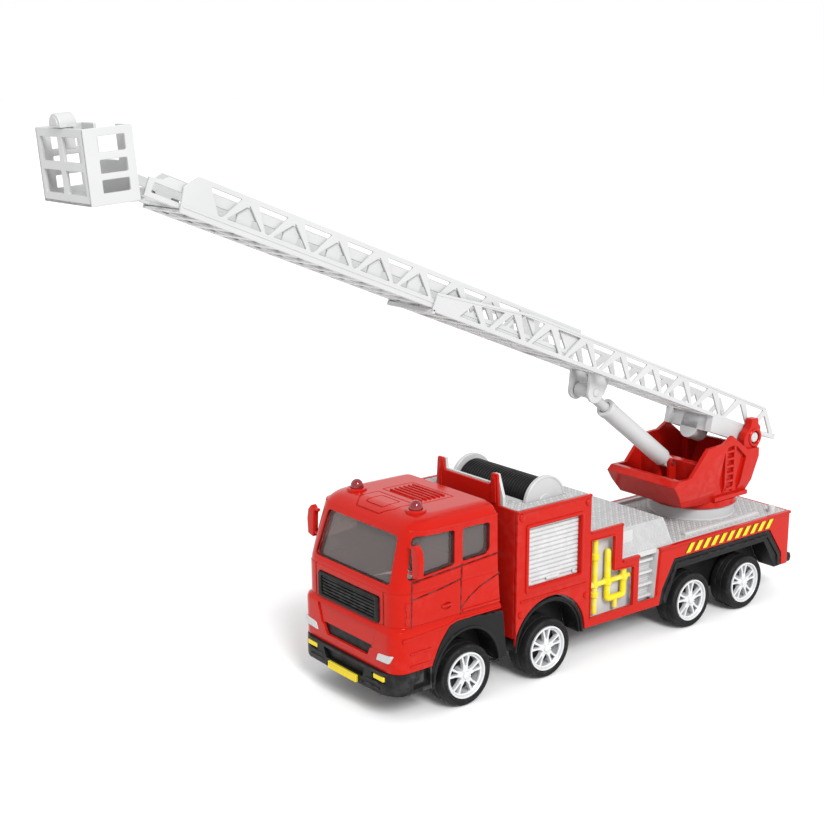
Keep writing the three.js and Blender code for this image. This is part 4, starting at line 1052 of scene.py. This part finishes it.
def rung_windows(s0, pitch, count, half):
    """Two columns of openings that leave the rungs and a middle rail."""
    reach = 0.34 * pitch
    return [rounded([(s - reach, 1.1 * t), (s + reach, 1.1 * t), (s + reach, (half - 2.4) * t),
                     (s - reach, (half - 2.4) * t)], 0.5, 2)
            for s in (s0 - pitch * i for i in range(count)) for t in SIGNS]


def section(outline, windows, half, floor, reach, bed_windows):
    """One ladder section: two pierced sides and a bed of rungs."""
    walls = [side([outline, *windows], half * s, (half - 1.2) * s, 0.25) for s in SIGNS]
    bed = slab([rect(*reach, -half + 0.3, half - 0.3), *bed_windows], floor, floor + 1.1, 0.25)
    return walls + [bed]


def base_windows():
    low, high, pitch, first = 5.5, 16.6, 26.5, 185.3
    ends = (
        down_window(first - 7 * pitch, pitch, low, high), [(-19.6, low), (-4, low), (-11, 14)],
        [(198.6, 15.4), (189.2, low), (207.6, low)], [(204, 14.6), (211, low), (213, low), (219.4, 13.2)],
        [(224.4, 12.6), (216.8, low), (230.6, low)],
    )
    return truss(first, pitch, 7, low, high) + [rounded(outline, 0.7, 3) for outline in ends]


def base_root():
    """The bracket under the root: two cheeks, a plate, a round-nosed stop and its webs."""
    cheek = [(33.4, 3.6), (32, -5.2), *arc(0, 0, 4.6, 4.6, 270, 180, 8), (-8, 3.6)]
    parts = [side([cheek, circle(0, 0, 3.1, 24)], 12.6 * s, 16.9 * s, 0.4) for s in SIGNS]
    stop = front([(6, 3.6), *arc(0, -5, 6, 6, 0, -180, 20), (-6, 3.6)], 20, 30.6, 0.4)
    webs = [block(11, 20.4, y - 0.6, y + 0.6, -4, 3.6, 0.25) for y in (-4.6, 4.6)]
    return parts + [block(29, 30.6, -16.4, 16.4, -5.2, 3.6), stop, *webs]


def strut_ears():
    s, n = STRUT_HEAD
    outline = [(s - 7.2, 3.6), (s - 6.2, -5), *arc(s, n, 5.6, 5.6, 180, 360, 18), (s + 8.2, 3.6)]
    ears = [side(outline, 5.9 * t, 7.6 * t, 0.35) for t in SIGNS]
    bosses = [lathe([(0, 7.4 * t), (2.1, 7.4 * t), (2.1, 8.0 * t), (1.7, 8.3 * t), (0, 8.3 * t)],
                    (s, 0, n), "Y", 28) for t in SIGNS]
    return ears + bosses


def add_base_section():
    outline = [(-26.6, 3.3), (247, 3.3), (247, 12), (185.6, 18.8), (-10.4, 18.8)]
    base = section(outline, base_windows(), 16.9, 3.3, (-25.6, 246.8), rung_windows(239, 11.9, 18, 16.9))
    lip = block(245.4, 247, -16.9, 16.9, 2.3, 4.4)
    end_plate = block(-26.4, -25, -16.6, 16.6, 3.4, 6.4)
    bead = [(-10.4, 17.6), (185.4, 17.6), (246.8, 10.8), (246.8, 12), (185.6, 18.8), (-10.4, 18.8)]
    beads = [side(rounded(bead, 0.2), 16.6 * s, 17.1 * s, 0.15) for s in SIGNS]
    fine("ladder_base", [*base, lip, end_plate, *beads, *base_root(), *strut_ears()], WHITE,
         "ladder_base", space=LADDER)


def add_middle_section():
    outline = [(150, 4.8), (382.4, 4.8), (383.8, 14.8), (378.5, 20.8), (150, 20.8)]
    middle = section(outline, truss(364.6, 23.4, 9, 9, 18.6), 15.4, 4.8, (151, 382.2),
                     rung_windows(376, 11.7, 19, 15.4))
    rails = [side(rounded(rect(151, 382, 7, 8), 0.2), 15.2 * s, 15.65 * s, 0.15) for s in SIGNS]
    fine("ladder_middle", middle + rails, WHITE, "ladder_middle", space=LADDER)


def add_fly_section():
    outline = [(215, 6.3), (398.4, 6.3), (398.4, 13.8), (392.8, 14.6), (390.4, 16.5), (215, 16.5)]
    slots = [rounded(rect(s - 8.6, s + 7.4, 8.4, 12.4), 0.6, 3) for s in (388.4 - 23.4 * i for i in range(8))]
    fly = section(outline, slots, 13.9, 6.3, (216, 396.4), rung_windows(386, 11.7, 14, 13.9))
    tip = [(394, 6.3), (394, 7.6), (397.6, 8), *arc(*BASKET_PIVOT, 2.6, 2.6, 60, -100, 10), (396, 4.2)]
    for s in SIGNS:
        fly.append(side([tip, circle(*BASKET_PIVOT, 1.4, 16)], 4.95 * s, 7 * s, 0.3))
        fly.append(block(396.4, 398.4, 4.95 * s, 13.8 * s, 6.3, 9.4, 0.3))
    fine("ladder_fly", fly, WHITE, "ladder_fly", space=LADDER)


def add_ladder():
    add_base_section()
    add_middle_section()
    add_fly_section()


# ---- basket ----
# The basket's rear, front, floor, rim and half width, in its own frame.
NEAR, FAR, LOW, TOP, HALF = 3.4, 23.6, -0.6, 27.7, 20.6


def basket_walls():
    side_windows = [rounded(rect(NEAR + 3.6, NEAR + 14.7, LOW + a, LOW + b), 0.5, 3)
                    for a, b in ((4.4, 9.2), (11.6, 16.6), (19.4, 25.2))]
    front_windows = [rounded(rect(2 * s, 17.4 * s, LOW + a, LOW + b), 0.6, 3)
                     for a, b in ((3.8, 12.6), (15.9, 25)) for s in SIGNS]
    wall, room = 1.4, HALF - 0.2
    outline = rounded(rect(NEAR, FAR, LOW, TOP), 0.4, 3)
    sides = [side([outline, *side_windows], (HALF - wall) * s, HALF * s, 0.3) for s in SIGNS]
    nose = front([rounded(rect(-room, room, LOW, TOP), 0.4, 3), *front_windows], FAR - wall, FAR, 0.3)
    rear = front(rounded(mirrored([(room, LOW), (room, TOP), (9, TOP), (9, 14)]), 0.5, 3), NEAR, NEAR + wall)
    floor = block(NEAR, FAR, -room, room, LOW, LOW + wall)
    return [*sides, nose, rear, floor]


def add_basket():
    lug = side([[(NEAR + 0.6, -0.6), *arc(0, 0, 2.4, 2.4, 270, 90, 14), (NEAR + 0.6, 4)],
                circle(0, 0, 1.4, 16)], -4.5, 4.5, 0.35)
    arch = [(-4.8, TOP + 0.3), (4.8, TOP + 0.3), *arc(0, TOP + 1.2, 4.8, 4.4, 0, 180, 20)]
    lamp = front(arch, FAR - 6, FAR + 1.2, 0.6)
    post = block(FAR - 6, FAR - 1, -1.3, 1.3, TOP - 8, TOP + 0.6)
    fine("basket", [*basket_walls(), lug, lamp, post], WHITE, "basket", space=BASKET)
    lens = front([(-3.6, TOP + 1.1), (3.6, TOP + 1.1), *arc(0, TOP + 1.4, 3.6, 3.2, 0, 180, 20)],
                 FAR + 0.6, FAR + 1.7, 0.3)
    piece("basket_lamp_lens", lens, PALE, "basket", space=BASKET)


# ---- lifting strut ----
def add_strut():
    turned = Matrix.Rotation(-LADDER_PITCH, 4, "Y") @ Vector((STRUT_HEAD[0], 0, STRUT_HEAD[1]))
    head = turned + Vector((PIVOT[0], 0, PIVOT[1]))
    foot = Vector((STRUT_FOOT[0], 0, STRUT_FOOT[1]))
    reach = (head - foot).length
    rise = math.atan2(head.z - foot.z, head.x - foot.x)
    space = TRUCK @ Matrix.Translation(foot) @ Matrix.Rotation(-rise, 4, "Y")
    barrel = lathe([(3.2, 8.6), (3.2, 63), (4.9, 63), (5.2, 62.6), (5.2, 60), (4.9, 59.6), (4.9, 5.2),
                    (4.3, 4), (3.2, 4)], axis="X", steps=56)
    plug = disc(4, 4.1, 8.8, (0, 0, 0), "X", 40)
    nose = side([[(7, -3), *arc(0, 0, 3.2, 3.2, 270, 90, 16), (7, 3)], circle(0, 0, 1.7, 20)], -2.4, 2.4, 0.3)
    fine("strut_barrel", [barrel, plug, nose], WHITE, "strut_barrel", space=space)
    rod = disc(2.8, 21.5, reach - 1.4, (0, 0, 0), "X", 40)
    eye = side([circle(reach, 0, 3.7, 36), circle(reach, 0, 1.5, 20)], -5.1, 5.1, 0.5)
    fine("strut_rod", [rod, eye], PALE, "strut_rod", space=space)


# ---- stage ----
def add_floor():
    bpy.ops.mesh.primitive_plane_add(size=60, location=(0, 0, -0.0002))
    floor = bpy.context.object
    floor.name = "floor"
    paper = bpy.data.materials.new("pale floor")
    paper.use_nodes = True
    shader = paper.node_tree.nodes["Principled BSDF"]
    shader.inputs["Base Color"].default_value = (0.84, 0.84, 0.84, 1)
    shader.inputs["Roughness"].default_value = 0.95
    shader.inputs["Specular IOR Level"].default_value = 0.0
    floor.data.materials.append(paper)


def add_light(name, kind, place, power, spread):
    light = bpy.data.lights.new(name, kind)
    light.energy = power
    if kind == "SUN":
        light.angle = spread
    else:
        light.size = spread
    lamp = bpy.data.objects.new(name, light)
    lamp.location = place
    aim = Vector((-0.02, 0, 0.1)) - Vector(place)
    lamp.rotation_euler = aim.to_track_quat("-Z", "Y").to_euler()
    bpy.context.scene.collection.objects.link(lamp)


def add_lights():
    world = bpy.data.worlds.new("studio")
    world.use_nodes = True
    world.node_tree.nodes["Background"].inputs["Color"].default_value = (1, 1, 1, 1)
    world.node_tree.nodes["Background"].inputs["Strength"].default_value = 1.0
    bpy.context.scene.world = world
    add_light("key", "SUN", (0.22, 0.8, 0.75), 2.3, math.radians(20))
    add_light("window", "AREA", (0.3, 0.9, 1.1), 3.5, 0.35)


def add_camera():
    azimuth, elevation = math.radians(141.54), math.radians(13.04)
    back = Vector((math.sin(azimuth) * math.cos(elevation), -math.cos(azimuth) * math.cos(elevation),
                   math.sin(elevation)))
    camera = bpy.data.objects.new("camera", bpy.data.cameras.new("camera"))
    camera.data.sensor_width = 36
    camera.data.lens = 61.0
    camera.location = Vector((0.395076 - ORIGIN_X * 0.001, 0.497549, 0.281514))
    camera.rotation_euler = back.to_track_quat("Z", "Y").to_euler()
    bpy.context.scene.collection.objects.link(camera)
    bpy.context.scene.camera = camera


bpy.context.scene.view_settings.view_transform = "Standard"
add_floor()
add_lights()
add_camera()
finish_cad_nodes()
add_wheels()
add_cab()
add_front_bumper()
add_fenders()
add_tail()
add_bodywork()
add_reel()
add_turret()
add_ladder()
add_basket()
add_strut()
